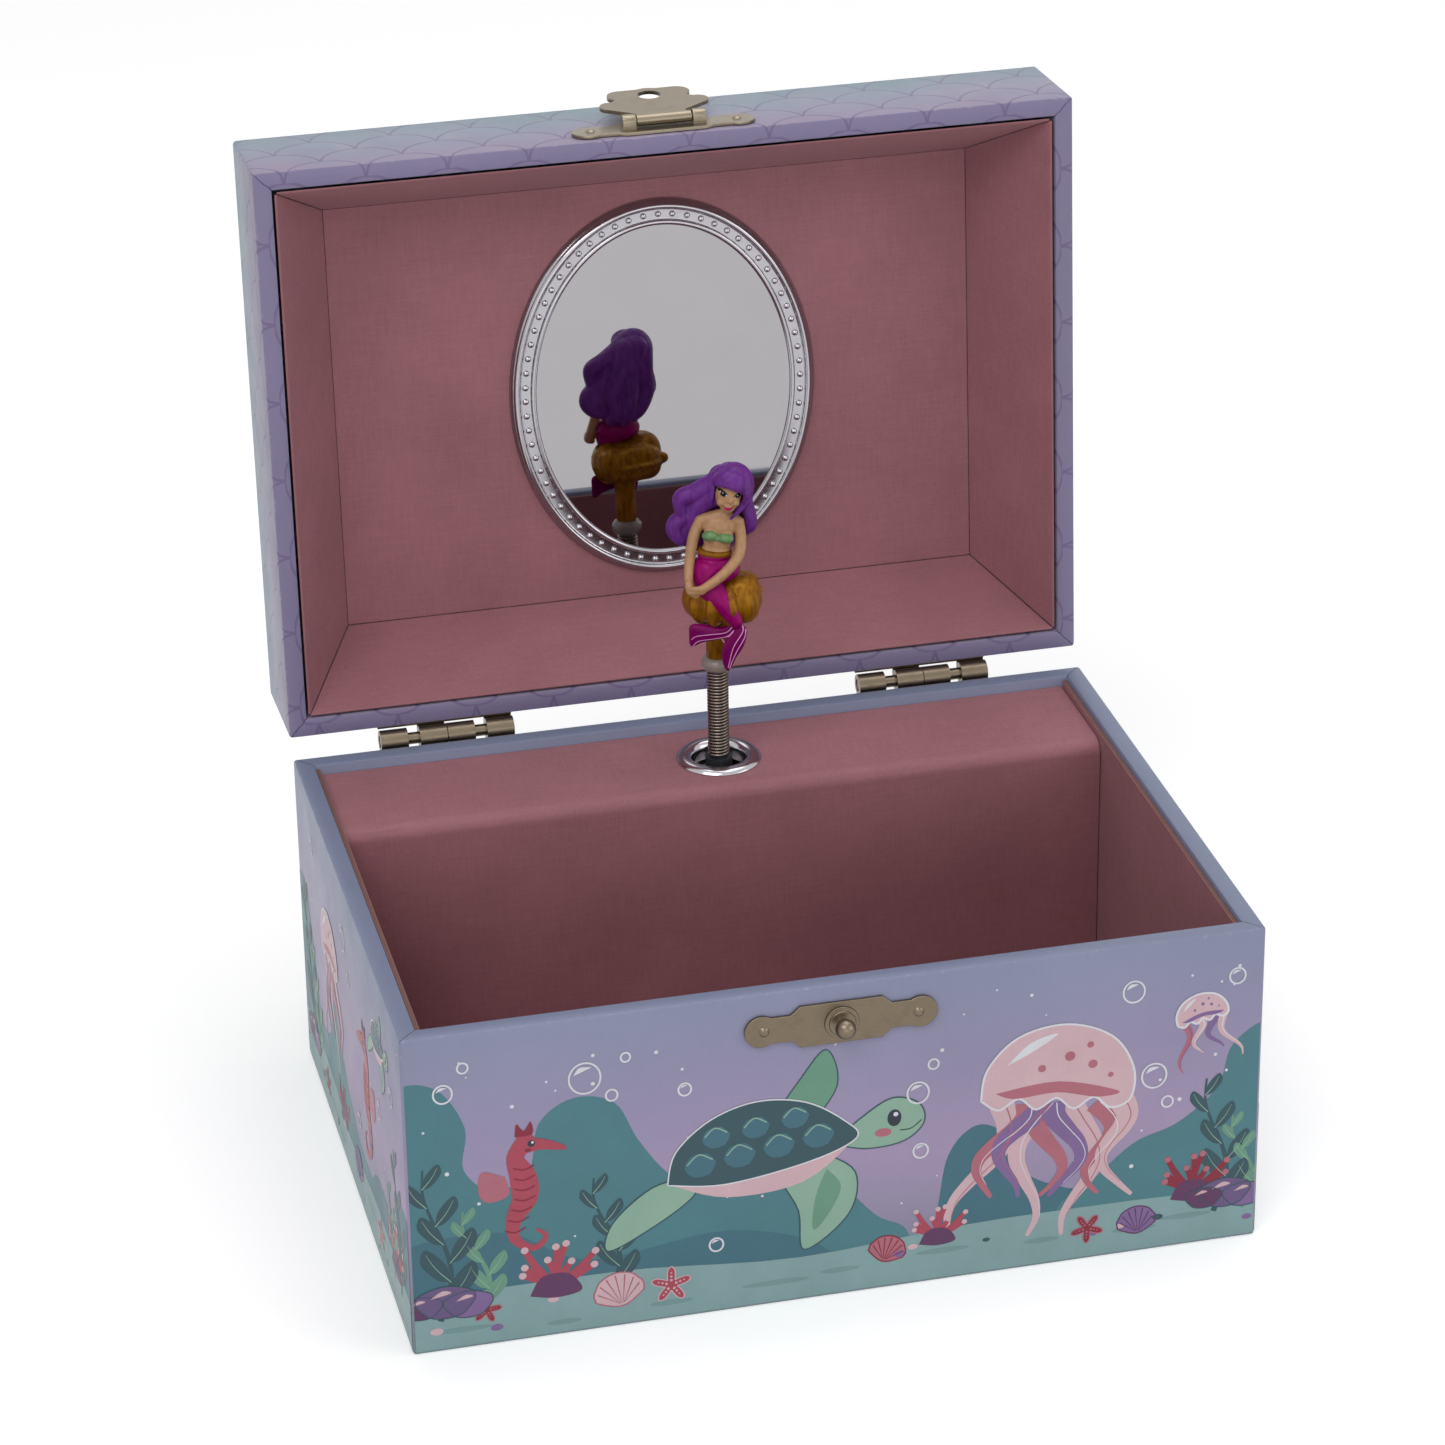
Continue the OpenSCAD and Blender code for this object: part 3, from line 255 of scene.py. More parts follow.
def finish_paper(g, colour, z0, z1, rim_z):
    """Printed paper on a box part from z0 to z1: mottling, worn edges and the folds at its rim's corners."""
    weave = g.weave(PAPER_THREAD)
    colour = g.scaled(colour, 0.95, 1.05, g.noise(0.035, 3, 0.55, seed=4))
    colour = g.scaled(colour, 0.97, 1.03, weave)
    from_x, from_y = g.from_sides()
    z = g.axes()[2]
    near, far = from_x.min(from_y), from_x.max(from_y)
    edge = near.max(far.min((z - z0).min(z1 - z)))
    worn = g.span(edge, 0.15, 0.75, 1, 0) * g.span(g.noise(0.5, 4, 0.7, seed=9), 0.5, 0.72)
    colour = g.mix(worn * 0.35, colour, rgb(196, 192, 204))
    wobble = (g.noise(0.9, 3, 0.6) - 0.5) * 0.9
    on_rim = g.span(abs(z - rim_z), 0.2, 0.6, 1, 0) * g.span(far, WALL + 0.1, WALL + 0.5, 1, 0)
    fold = g.span(abs(from_x - from_y + wobble), 0.05, 0.2, 1, 0) * on_rim
    colour = g.mix(fold * 0.75, colour, rgb(66, 60, 84))
    return laminate(g, colour, PRINT_DEPTH, weave + g.noise(0.16, 2, seed=7) * 1.6 - fold * 3, 0.12)


def base_paper():
    g = Graph("base_paper", specular=0.4)
    z = g.axes()[2]
    drift = (g.noise(0.02, 2, seed=3) - 0.5) * 14
    colour = g.ramp((z + drift) / BASE_H, (0, rgb(124, 148, 154)), (0.22, rgb(152, 146, 174)),
                    (0.45, rgb(173, 155, 191)), (0.72, rgb(157, 150, 184)), (1, rgb(142, 149, 178)))
    colour = g.mix(g.span(z, BASE_H - 0.25, BASE_H - 0.05), colour, rgb(128, 138, 166))
    return finish_paper(g, colour, 0, BASE_H, BASE_H)


def lid_paper():
    """Fish scales, laid out along each side, across the rim's edges, and over the top."""
    g = Graph("lid_paper", specular=0.4)
    x, y, z = g.axes()
    from_x, from_y = g.from_sides()
    up = z - RIM_Z
    on_side = abs(x) > HALF_W - 0.4
    upright = on_side.max((abs(y) > HALF_D - 0.4) * (1 - on_side))
    on_top = (z > LID_TOP - 0.5) * (1 - upright)
    rim_u = g.pick(upright, g.pick(from_x < from_y, x, y), g.pick(on_side, x, y))
    rim_v = g.pick(upright, from_x.min(from_y) * -1, up)
    u, v = g.pick(on_top, rim_u, x), g.pick(on_top, rim_v, y)
    line = scallops(g, u + 3.6, v - 2.9, 14.6, 6.3)
    tone = g.pick(on_top, up / LID_H + (g.noise(0.05, 2) - 0.5) * 0.6, g.noise(0.013, 1, seed=5) * 0.8 + 0.1)
    colour = g.ramp(tone, (0, rgb(161, 149, 176)), (0.4, rgb(152, 151, 178)), (0.75, rgb(138, 153, 174)),
                    (1, rgb(130, 156, 170)))
    haze = g.span(g.noise(0.11, 5, 0.75, seed=12), 0.52, 0.75)
    colour = g.mix(haze * 0.35, colour, rgb(184, 160, 178))
    colour = g.mix(g.span(abs(up), 0.05, 0.3, 1, 0), colour, rgb(136, 127, 162))
    colour = g.mix(line * 0.68, colour, rgb(110, 94, 138))
    return finish_paper(g, colour, RIM_Z, LID_TOP, RIM_Z)


def ink(name, depth=1, gloss=0.12):
    """Printed or painted colour taken from the mesh's own colours."""
    g = Graph(name, specular=0.15 + 2 * gloss)
    own = g.node("Attribute", {}, "Color", attribute_name="ink")
    weave = g.weave(PAPER_THREAD)
    colour = g.scaled(own, 0.94, 1.05, g.noise(0.12, 3, 0.6, seed=4))
    return laminate(g, g.scaled(colour, 0.97, 1.03, weave), depth, weave, gloss)


def lining(name, colour):
    """Woven-grain lining paper glued on card."""
    g = Graph(name, specular=0.25)
    weave = g.weave(LINING_THREAD)
    colour = g.scaled(colour, 0.9, 1.1, g.noise(0.05, 4, 0.6, seed=6))
    colour = g.scaled(colour, 0.89, 1.11, weave)
    fleck = g.span(g.noise(1.6, 2, 0.6, seed=3), 0.66, 0.78)
    g.set(Base_Color=g.mix(fleck * 0.25, colour, rgb(168, 122, 130)), Sheen_Weight=0.08, Sheen_Roughness=0.4,
          Roughness=g.span(weave, 0.3, 0.7, 0.72, 0.6))
    g.bump(weave + g.noise(0.2, 2) * 0.9, 0.045)
    return g.mat


def board(name, colour):
    """Raw grey card or board, with fibres and a few dark specks."""
    g = Graph(name, rough=0.8, specular=0.2)
    fibre = g.noise(1.4, 4, 0.7, (0.4, 1.2, 1.6))
    speck = g.span(g.noise(2.4, 1, seed=8), 0.68, 0.74, 0, 0.5)
    g.set(Base_Color=g.mix(speck, g.scaled(colour, 0.85, 1.12, fibre), rgb(92, 82, 74)))
    g.bump(fibre, 0.05)
    return g.mat


def metal(name, colour, rough, dull, grain=0.004, age=0.22):
    """Plated or turned metal: brushing, faint tarnish and fine pits."""
    g = Graph(name, metal=1)
    brush = g.noise(2.2, 3, 0.6, (0.25, 2.2, 2.2))
    cloud = g.noise(0.35, 4, 0.65, seed=5)
    tarnish = g.span(cloud, 0.45, 0.75) * age
    g.set(Base_Color=g.mix(tarnish, g.scaled(colour, 0.9, 1.08, brush), dull),
          Roughness=g.span(cloud, 0.3, 0.7, rough * 0.9, rough * 1.15) + g.span(brush, 0.3, 0.7, 0, 0.05))
    g.bump(brush + g.noise(3.5, 2, seed=2), grain)
    return g.mat


def plastic(name, colour, rough=0.4, glow=0, clear=0):
    g = Graph(name)
    soft = g.noise(0.8, 3, 0.6)
    g.set(Base_Color=g.scaled(colour, 0.92, 1.06, soft), Subsurface_Weight=glow, Subsurface_Scale=0.0012,
          Subsurface_Radius=(1, 0.9, 0.8), Transmission_Weight=clear,
          Roughness=g.span(soft, 0.2, 0.8, rough * 0.85, rough * 1.15))
    g.bump(g.noise(2.5, 3, 0.6, seed=3), 0.012)
    return g.mat


def enamel(name, colour, shade, metal_part=0, rough=0.28, foot=None, spec=0.28):
    """Glossy paint brushed over moulded plastic; foot is its colour near the figure's lower end."""
    g = Graph(name, metal=metal_part, specular=spec)
    stroke = g.noise(1.1, 3, 0.6, (1, 1, 0.35))
    tone = g.mix(g.span(stroke, 0.35, 0.7), colour, shade)
    tone = g.scaled(tone, 0.94, 1.05, g.noise(3.5, 2, seed=4))
    if foot:
        tone = g.mix(g.span(g.axes()[2], 4.5, 1), tone, foot)
    g.set(Base_Color=tone, Coat_Weight=spec / 3, Coat_Roughness=0.15,
          Roughness=g.span(stroke, 0.2, 0.8, rough * 0.8, rough * 1.3))
    g.bump(g.noise(0.9, 2, seed=6) + g.noise(4, 2) * 0.25, 0.05)
    return g.mat


def mirror_silver():
    g = Graph("mirror_glass", metal=1)
    haze = g.noise(0.09, 3, 0.6)
    g.set(Base_Color=g.scaled(rgb(162, 160, 163), 0.98, 1.02, haze),
          Roughness=g.span(haze, 0.3, 0.8, 0.012, 0.035))
    return g.mat


CARD = board("card_edge", rgb(112, 84, 76))
BRASS = metal("brass", rgb(206, 176, 108), 0.3, rgb(140, 108, 60), 0.015)
STEEL = metal("steel", rgb(172, 170, 168), 0.3, rgb(120, 114, 108), 0.015)
SPRING = metal("spring_steel", rgb(124, 114, 106), 0.24, rgb(78, 68, 60), 0.006)
BLACK = plastic("black_plastic", rgb(40, 42, 48), 0.5)
SKIN_PAINT = enamel("skin_paint", rgb(174, 134, 98), rgb(164, 122, 86), rough=0.4)
HAIR_PAINT = enamel("hair_paint", rgb(102, 42, 130), rgb(84, 30, 110), rough=0.46, spec=0.18)
TAIL_PAINT = enamel("tail_paint", rgb(146, 0, 100), rgb(132, 0, 90), rough=0.36, foot=rgb(112, 0, 84),
                    spec=0.12)
TOP_PAINT = enamel("top_paint", rgb(104, 140, 90), rgb(86, 122, 76), rough=0.34)
BELT_PAINT = enamel("belt_paint", rgb(134, 88, 6), rgb(112, 68, 4), 0.2, 0.36, spec=0.12)
INK = ink("print_ink", depth=PRINT_DEPTH + 0.08)
FACE_INK = ink("figure_ink", gloss=0)
FINISHES = {                     # the record's material slots
    "base_paper": base_paper(),
    "lid_paper": lid_paper(),
    "lining_paper": lining("lining_paper", rgb(146, 98, 105)),
    "floor_paper": lining("floor_paper", rgb(132, 84, 92)),
    "floor_board": board("floor_board", rgb(126, 122, 120)),
    "eyelet_chrome": metal("eyelet_chrome", rgb(184, 181, 186), 0.13, rgb(150, 140, 142), age=0.2),
    "aged_nickel": metal("aged_nickel", rgb(120, 108, 92), 0.3, rgb(84, 72, 58)),
    "bright_nickel": metal("bright_nickel", rgb(142, 131, 114), 0.28, rgb(104, 90, 72)),
    "mirror_silver": metal("mirror_silver", rgb(174, 172, 177), 0.13, rgb(150, 146, 152), 0.001, 0.2),
    "mirror_glass": mirror_silver(),
    "collar_plastic": plastic("collar_plastic", rgb(158, 146, 142), 0.32, 0.3, 0.3),
    "gold_paint": enamel("gold_paint", rgb(150, 102, 10), rgb(116, 70, 4), 0.35, 0.4, spec=0.15),
    "spring_steel": SPRING,
}


# ---- Mesh making ----

def wrap_up(ob, body, nodes):
    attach(ob, body)
    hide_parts(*nodes)
    return ob


def add_object(name, data, at=None):
    ob = bpy.data.objects.new(name, data)
    bpy.context.scene.collection.objects.link(ob)
    if at is not None:
        ob.matrix_world = at
    return ob


@contextmanager
def editing(mesh):
    bm = bmesh.new()
    bm.from_mesh(mesh)
    yield bm
    bm.to_mesh(mesh)
    bm.free()


def shade(mesh, angle):
    mesh.shade_smooth()
    mesh.set_sharp_from_angle(angle=radians(angle))


def build(name, skin, mats, at=None, angle=35, marks=None):
    """A mesh object from points and faces; marks gives each face's material."""
    verts, faces = skin
    mesh = bpy.data.meshes.new(name)
    mesh.from_pydata([[c * MM for c in v] for v in verts], [], faces)
    for mat in mats:
        mesh.materials.append(mat)
    if marks:
        mesh.polygons.foreach_set("material_index", marks)
    with editing(mesh) as bm:
        bmesh.ops.recalc_face_normals(bm, faces=bm.faces)
    shade(mesh, angle)
    return add_object(name, mesh, at)


def piece(name, skin, body, slot, *nodes, at=None, angle=35):
    """A mesh object in its slot's finish, which rides a body and stands for CAD nodes."""
    ob = build(name, skin, [FINISHES[slot]], PLACES.get(body) if at is None else at, angle)
    return wrap_up(ob, body, nodes)


def loft(rings, ends=False, loop=False):
    """Points and faces of a skin through equal closed rings; loop joins the last to the first."""
    n = len(rings[0])
    faces = []
    pairs = [(i, i + 1) for i in range(len(rings) - 1)] + ([(len(rings) - 1, 0)] if loop else [])
    for a, b in pairs:
        for j in range(n):
            k = (j + 1) % n
            faces.append((a * n + j, a * n + k, b * n + k, b * n + j))
    if ends:
        faces.append(tuple(range(n)))
        faces.append(tuple((len(rings) - 1) * n + j for j in range(n)))
    return [p for ring in rings for p in ring], faces


def joined(skins):
    """Points and faces of several skins as one."""
    verts, faces = [], []
    for part_verts, part_faces in skins:
        faces += [tuple(i + len(verts) for i in face) for face in part_faces]
        verts += part_verts
    return verts, faces


def circle(n):
    return [(cos(2 * pi * i / n), sin(2 * pi * i / n)) for i in range(n)]


def lathe(profile, n=72, x=0, y=0, loop=False):
    """Skin of a profile of (radius, height) turned about an upright axis."""
    return loft([[(x + r * c, y + r * s, z) for c, s in circle(n)] for r, z in profile], loop=loop)


def board_rings(profile, r=0.8, n=4):
    """Rounded rectangles for a profile of (distance inside the outer face, height)."""
    rings = []
    for inset, z in profile:
        hx, hy, turn = HALF_W - inset, HALF_D - inset, max(r - inset, 0.12)
        corners = ((hx - turn, hy - turn, 0), (turn - hx, hy - turn, 90), (turn - hx, turn - hy, 180),
                   (hx - turn, turn - hy, 270))
        rings.append([(cx + turn * cos(radians(start + 90 * i / n)),
                       cy + turn * sin(radians(start + 90 * i / n)), z)
                      for cx, cy, start in corners for i in range(n + 1)])
    return rings


def bake(ob):
    """Puts the modifiers' result into the mesh."""
    bpy.context.view_layer.update()
    made = bpy.data.meshes.new_from_object(ob.evaluated_get(bpy.context.evaluated_depsgraph_get()))
    ob.modifiers.clear()
    ob.data = made


def modify(ob, kind, **settings):
    """Adds a modifier and bakes it in."""
    mod = ob.modifiers.new(kind.lower(), kind)
    for key, value in settings.items():
        setattr(mod, key, value)
    bake(ob)


def cut(ob, cutter):
    """Takes the cutter's volume out of the object."""
    modify(ob, "BOOLEAN", object=cutter, operation="DIFFERENCE", solver="EXACT")
    bpy.data.objects.remove(cutter)


def drill(ob, r, low, high, n, angle, x=0, y=0, at=None):
    """Cuts a round hole along the cutter's upright axis, then shades the object anew."""
    skin = lathe([(0, low), (r, low), (r, high), (0, high)], n, x, y)
    cut(ob, build("hole", skin, list(ob.data.materials), at))
    shade(ob.data, angle)


def bevel(ob, width, segments=2):
    """Eases the edges sharper than 30 degrees."""
    with editing(ob.data) as bm:
        bmesh.ops.remove_doubles(bm, verts=bm.verts, dist=1e-6)
        bmesh.ops.dissolve_limit(bm, angle_limit=radians(1), verts=bm.verts, edges=bm.edges)
        sharp = [e for e in bm.edges if e.is_manifold and e.calc_face_angle(0) > radians(30)]
        bmesh.ops.bevel(bm, geom=sharp, offset=width * MM, segments=segments, profile=0.6, affect="EDGES",
                        clamp_overlap=True)
        bmesh.ops.recalc_face_normals(bm, faces=bm.faces)
    shade(ob.data, 50)
    modify(ob, "WEIGHTED_NORMAL", weight=100, keep_sharp=True)


def softened(node, ease, body, slot, segments=2):
    """A copy of a CAD node with its sharp edges eased, standing for the node."""
    at = PLACES.get(body)
    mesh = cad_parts[node].data.copy()
    mesh.name = node + "_eased"
    if at is not None:
        mesh.transform(at.inverted())
    mesh.materials.clear()
    mesh.materials.append(FINISHES[slot])
    ob = add_object(node + "_eased", mesh, at)
    bevel(ob, ease, segments)
    wrap_up(ob, body, (node,))


def card(name, low, high, z0, z1, away, body, node, ease=0.1):
    """A lining card between two lines in plan, low at z0 and high at z1, with its thickness along away."""
    quad = [(*low[0], z0), (*low[1], z0), (*high[1], z1), (*high[0], z1)]
    back = [tuple(p[k] + away[k] for k in range(3)) for p in quad]
    faces = [(0, 1, 2, 3), (7, 6, 5, 4)] + [(i, (i + 1) % 4, (i + 1) % 4 + 4, i + 4) for i in range(4)]
    mats, marks = [FINISHES["lining_paper"], CARD], [0, 0, 1, 1, 1, 1]
    ob = build(name, (quad + back, faces), mats, PLACES.get(body), marks=marks)
    bevel(ob, ease)
    wrap_up(ob, body, (node,))


# ---- Boards and cards ----

def make_base():
    e = SKIN
    profile = [(e + 0.4, 0), (e + 0.12, 0.1), (e, 0.4), (e, 20), (e, 40), (e, 60.5), (e + 0.13, 60.87),
               (e + 0.5, BASE_H), (3.1, BASE_H), (3.4, 60.9), (WALL, 60.6), (WALL, 30), (WALL, 0.3), (3.3, 0)]
    ob = build("base_shell", loft(board_rings(profile), loop=True), [FINISHES["base_paper"]])
    drill(ob, ARBOR_HOLE_R, -1, 8, 40, 30, at=turned(-90, "X", (AXIS_X, LINING_Y, ARBOR_Z)))
    wrap_up(ob, "base", ("base_walls",))
    softened("base_floor", 0.3, "base", "floor_board")


def make_lid():
    e = SKIN
    profile = [(WALL, 81.3), (WALL, 70), (WALL, 61.7), (3.4, 61.4), (3.1, RIM_Z), (e + 0.5, RIM_Z),
               (e + 0.13, 61.43), (e, 61.8), (e, 72), (e, 83.6), (e + 0.15, 84.02), (e + 0.6, LID_TOP - e),
               (8, LID_TOP - e)]
    skin = loft(board_rings(profile), ends=True)
    piece("lid_shell", skin, "lid", "lid_paper", "lid_walls", "lid_top_board")


def make_lid_lining():
    """Four sloping cards and the panel that carries the mirror, a hair's breadth apart."""
    gap, thick = 0.01, 0.4
    z0, x0, y0 = RIM_Z + 0.4, LINING_X + 0.2, LINING_Y + 0.2
    x1, y1 = 60, 40
    sides = {
        "left": (lambda x, y: ((-x, y - gap), (-x, -y + gap)), (-thick, 0, 0)),
        "right": (lambda x, y: ((x, -y + gap), (x, y - gap)), (thick, 0, 0)),
        "front": (lambda x, y: ((-x + gap, -y), (x - gap, -y)), (0, -thick, 0)),
        "back": (lambda x, y: ((x - gap, y), (-x + gap, y)), (0, thick, 0)),
    }
    for name, (line, away) in sides.items():
        card("lid_lining_" + name, line(x0, y0), line(x1, y1), z0, PANEL_Z, away, "lid", "lid_lining", 0.2)
    front = (-x1 + gap, -y1 + gap), (x1 - gap, -y1 + gap)
    back = (-x1 + gap, y1 - gap), (x1 - gap, y1 - gap)
    card("lid_lining_panel", front, back, PANEL_Z, PANEL_Z, (0, 0, 0.78), "lid", "lid_lining", 0.2)


def make_base_lining():
    low, top, x, y, thick, gap = 3, BASE_H - 0.8, LINING_X, LINING_Y, 0.8, 0.1
    for name, line, away in (("left", ((-x, LEDGE_BACK), (-x, -y + gap)), (-thick, 0, 0)),
                             ("right", ((x, -y + gap), (x, LEDGE_BACK)), (thick, 0, 0)),
                             ("front", ((-x + gap, -y), (x - gap, -y)), (0, -thick, 0))):
        card("base_lining_" + name, line, line, low, top, away, "base", "base_lining")
    softened("compartment_floor", 0.2, "base", "floor_paper")


def make_ledge():
    """The folded card over the movement, with the hole for the spring."""
    turn_y, turn_z = LEDGE_FRONT + LEDGE_R, LEDGE_TOP - LEDGE_R
    outline = []
    for inset, r in ((0, LEDGE_R), (1, LEDGE_R - 1)):
        path = [(LEDGE_FRONT + inset, z) for z in (3, 20, 40, turn_z)]
        path += [(turn_y + r * cos(a), turn_z + r * sin(a))
                 for a in [radians(180 - 90 * i / 8) for i in range(1, 9)]]
        path.append((LEDGE_BACK, LEDGE_TOP - inset))
        outline += path[::-1] if inset else path
    side, steps = LINING_X - 0.2, 24
    rings = [[(x, y, z) for y, z in outline] for x in [2 * side * i / steps - side for i in range(steps + 1)]]
    ob = build("ledge", loft(rings, ends=True), [FINISHES["lining_paper"]])
    drill(ob, SPRING_HOLE_R, 50, 65, 64, 40, AXIS_X, AXIS_Y)
    wrap_up(ob, "base", ("mechanism_cover",))


# ---- Mirror ----

def oval_point(t, inset):
    c, s = cos(t), sin(t)
    n = Vector((c / MIRROR_RX, s / MIRROR_RY, 0)).normalized()
    return MIRROR_X + MIRROR_RX * c - n.x * inset, MIRROR_RY * s - n.y * inset


def oval_rings(profile, n=176):
    """One ring for each (distance inside the frame's edge, depth below the panel)."""
    return [[(*oval_point(2 * pi * i / n, inset), PANEL_Z - h) for i in range(n)] for inset, h in profile]


def make_mirror():
    profile = [(-0.7, 0.02), (-0.68, 0.3), (-0.45, 0.7), (-0.1, 0.95), (0.12, 1.15), (0.4, 1.5), (0.7, 1.58),
               (0.98, 1.45), (1.14, 1.15), (1.2, 1.02), (1.4, 1), (2.9, 1), (3.1, 1.02), (3.18, 1.2),
               (3.36, 1.48), (3.66, 1.58), (3.95, 1.48), (4.13, 1.3), (4.2, 1.14), (3.5, 1.12), (3.5, 0.02)]
    slices = list(zip(*oval_rings(profile)))
    piece("mirror_frame_embossed", loft(slices, loop=True), "lid", "mirror_silver", "mirror_frame", angle=60)
    count, fine, bead_line = 68, 1440, 2.15
    spots = [oval_point(2 * pi * i / fine, bead_line) for i in range(fine + 1)]
    run = [0]
    for a, b in zip(spots, spots[1:]):
        run.append(run[-1] + dist(b, a))
    beads = []
    for k in range(count):
        x, y = spots[next(i for i, length in enumerate(run) if length >= run[-1] * k / count)]
        dome = [(0.62, 0), (0.58, 0.16), (0.45, 0.34), (0.26, 0.45), (0.08, 0.5)]
        verts, faces = lathe([(r, PANEL_Z - 0.98 - h) for r, h in dome], 12, x, y)
        beads.append((verts, faces + [tuple(range(len(verts) - 12, len(verts)))]))
    piece("mirror_frame_beads", joined(beads), "lid", "mirror_silver", "mirror_frame", angle=80)
    pane = oval_rings(((3.55, 0.04), (3.55, 1), (3.65, 1.1)))
    piece("mirror_pane", loft(pane, ends=True), "lid", "mirror_glass", "mirror_glass", angle=8)


# ---- Fittings ----

FITTINGS = {                     # width of each node's eased edges
    ("base", "aged_nickel"): {"catch_plate": 0.16, "catch_plate_pins": 0.12, "base_hinge_leaves": 0.14,
                              "base_hinge_nails": 0.1, "hinge_pins": 0.15},
    ("lid", "aged_nickel"): {"lid_hinge_leaves": 0.14, "lid_hinge_nails": 0.1},
    ("lid", "bright_nickel"): {"hasp_plate": 0.16, "hasp_plate_pins": 0.12, "hasp_pin": 0.08},
    ("hasp", "bright_nickel"): {"hasp_leaf": 0.2},
}
MOVEMENT = {
    BRASS: ("bedplate", "crown_wheel", "music_drum", "drum_pinion", "drum_wheel", "governor_arbor"),
    STEEL: ("bedplate_screws", "spring_housing", "winding_arbor", "drum_pins", "drum_arbor", "drum_bracket",
            "comb", "comb_riser", "comb_screws", "governor_bracket", "bracket_screws", "worm_shaft",
            "governor_fan"),
    SPRING: ("mainspring",),
    BLACK: ("crown_washer", "spring_hub", "governor_wheel"),
}


def make_fittings():
    for (body, slot), nodes in FITTINGS.items():
        for node, ease in nodes.items():
            softened(node, ease, body, slot)
    softened("winding_key", 0.35, "key", "bright_nickel", 3)
    ball_r, ball_z = 1.75, 2.5
    profile = [(0, 0.02), (3, 0.02), (3, 0.22), (2.92, 0.31), (2.45, 0.33), (2.35, 0.36), (2.35, 0.58),
               (2.24, 0.7), (1.35, 0.72), (1.2, 0.8), (1.2, 1.25)]
    profile += [(ball_r * sin(a), ball_z - ball_r * cos(a))
                for a in [radians(a) for a in range(44, 180, 8)]]
    profile.append((0, ball_z + ball_r))
    piece("catch_ball", lathe(profile, 48), "base", "aged_nickel", "catch_stud",
          at=turned(90, "X", (0, -HALF_D - 0.6, CATCH_Z)), angle=45)


def make_eyelet():
    r_in, r_out = 4.8, 7.8
    rise = ((r_in, -2.4), (r_in + 0.2, -2.4), (r_in + 0.4, -1.2), (r_in + 0.45, 0.02), (r_out - 0.05, 0.02),
            (r_out, 0.08), (r_out - 0.06, 0.2), (r_out - 0.3, 0.48), (r_out - 0.65, 0.76),
            (r_out - 1.1, 0.95), (r_out - 1.55, 1), (r_out - 2, 0.93), (r_out - 2.4, 0.72), (r_in + 0.3, 0.4),
            (r_in + 0.08, 0), (r_in, -0.6))
    skin = lathe([(r, LEDGE_TOP + h) for r, h in rise], 96, AXIS_X, AXIS_Y, loop=True)
    piece("eyelet_rolled", skin, "base", "eyelet_chrome", "eyelet", angle=70)


def make_spring():
    wire, coil_r, turns, sides, steps = 0.28, 1.713, 27, 10, 28
    low, high = HUB_TOP + wire, SPRING_TOP - wire
    rings = []
    for i in range(int(turns * steps) + 1):
        a = 2 * pi * i / steps
        z = low + (high - low) * i / (turns * steps)
        ring = []
        for c, s in circle(sides):
            r = coil_r + wire * c
            ring.append((AXIS_X + r * cos(a), AXIS_Y + r * sin(a), z + wire * s))
        rings.append(ring)
    ob = build("spring_wire", loft(rings, ends=True), [SPRING], angle=70)
    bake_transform(ob)
    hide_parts("coil_spring")


def make_collar():
    z, r, h = COLLAR_Z, COLLAR_R, COLLAR_H
    profile = [(0.9, z - 3.3), (1.2, z - 3.3), (1.26, z - 0.02), (2.1, z + 0.02), (2.35, z + 0.1),
               (r - 0.15, z + 0.55), (r, z + 0.85), (r, z + h - 0.95), (r - 0.08, z + h - 0.7),
               (r - 0.5, z + h - 0.12), (r - 0.75, z + h), (0.9, z + h)]
    skin = lathe(profile, 64, AXIS_X, AXIS_Y, loop=True)
    piece("collar_moulded", skin, "spring_top", "collar_plastic", "spring_collar", angle=40)


def dress_movement():
    for mat, names in MOVEMENT.items():
        for name in names:
            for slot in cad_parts[name].material_slots:
                slot.material = mat


# ---- Figure ----
# Its points are (across, toward the viewer, up) in millimetres from the top of the spring's collar plug.

def seated(p):
    return Vector((p[0], -p[1], p[2]))


def curve(points, steps):
    """Smooth run through points of any size, by Catmull-Rom."""
    out = []
    for i in range(len(points) - 1):
        stops = points[max(i - 1, 0)], points[i], points[i + 1], points[min(i + 2, len(points) - 1)]
        for k in range(steps):
            t = k / steps
            out.append([0.5 * (2 * b + (c - a) * t + (2 * a - 5 * b + 4 * c - d) * t * t
                               + (3 * b - a - 3 * c + d) * t ** 3) for a, b, c, d in zip(*stops)])
    out.append(list(points[-1]))
    return out


def limb(*stops, steps=8, n=16):
    """Round tapering limb with domed ends through stops of (across, near, up, radius)."""
    path = curve(stops, steps)
    dome = (0.15, 0.5, 0.9, 1.25)
    rings = []
    for i, stop in enumerate(path):
        before, after = path[max(i - 1, 0)], path[min(i + 1, len(path) - 1)]
        along = (seated(after) - seated(before)).normalized()
        side = along.cross(Vector((0, 1, 0)))
        side = side.normalized() if side.length > 0.1 else Vector((1, 0, 0))
        depth = side.cross(along).normalized()
        spots = [(0, 1)]
        if i == 0:
            spots = [(-cos(a), sin(a)) for a in dome] + spots
        if i == len(path) - 1:
            spots = spots + [(cos(a), sin(a)) for a in dome[::-1]]
        for lift, wide in spots:
            centre = seated(stop) + along * lift * stop[3]
            rings.append([tuple(centre + (side * c + depth * s) * stop[3] * wide) for c, s in circle(n)])
    return loft(rings, ends=True)


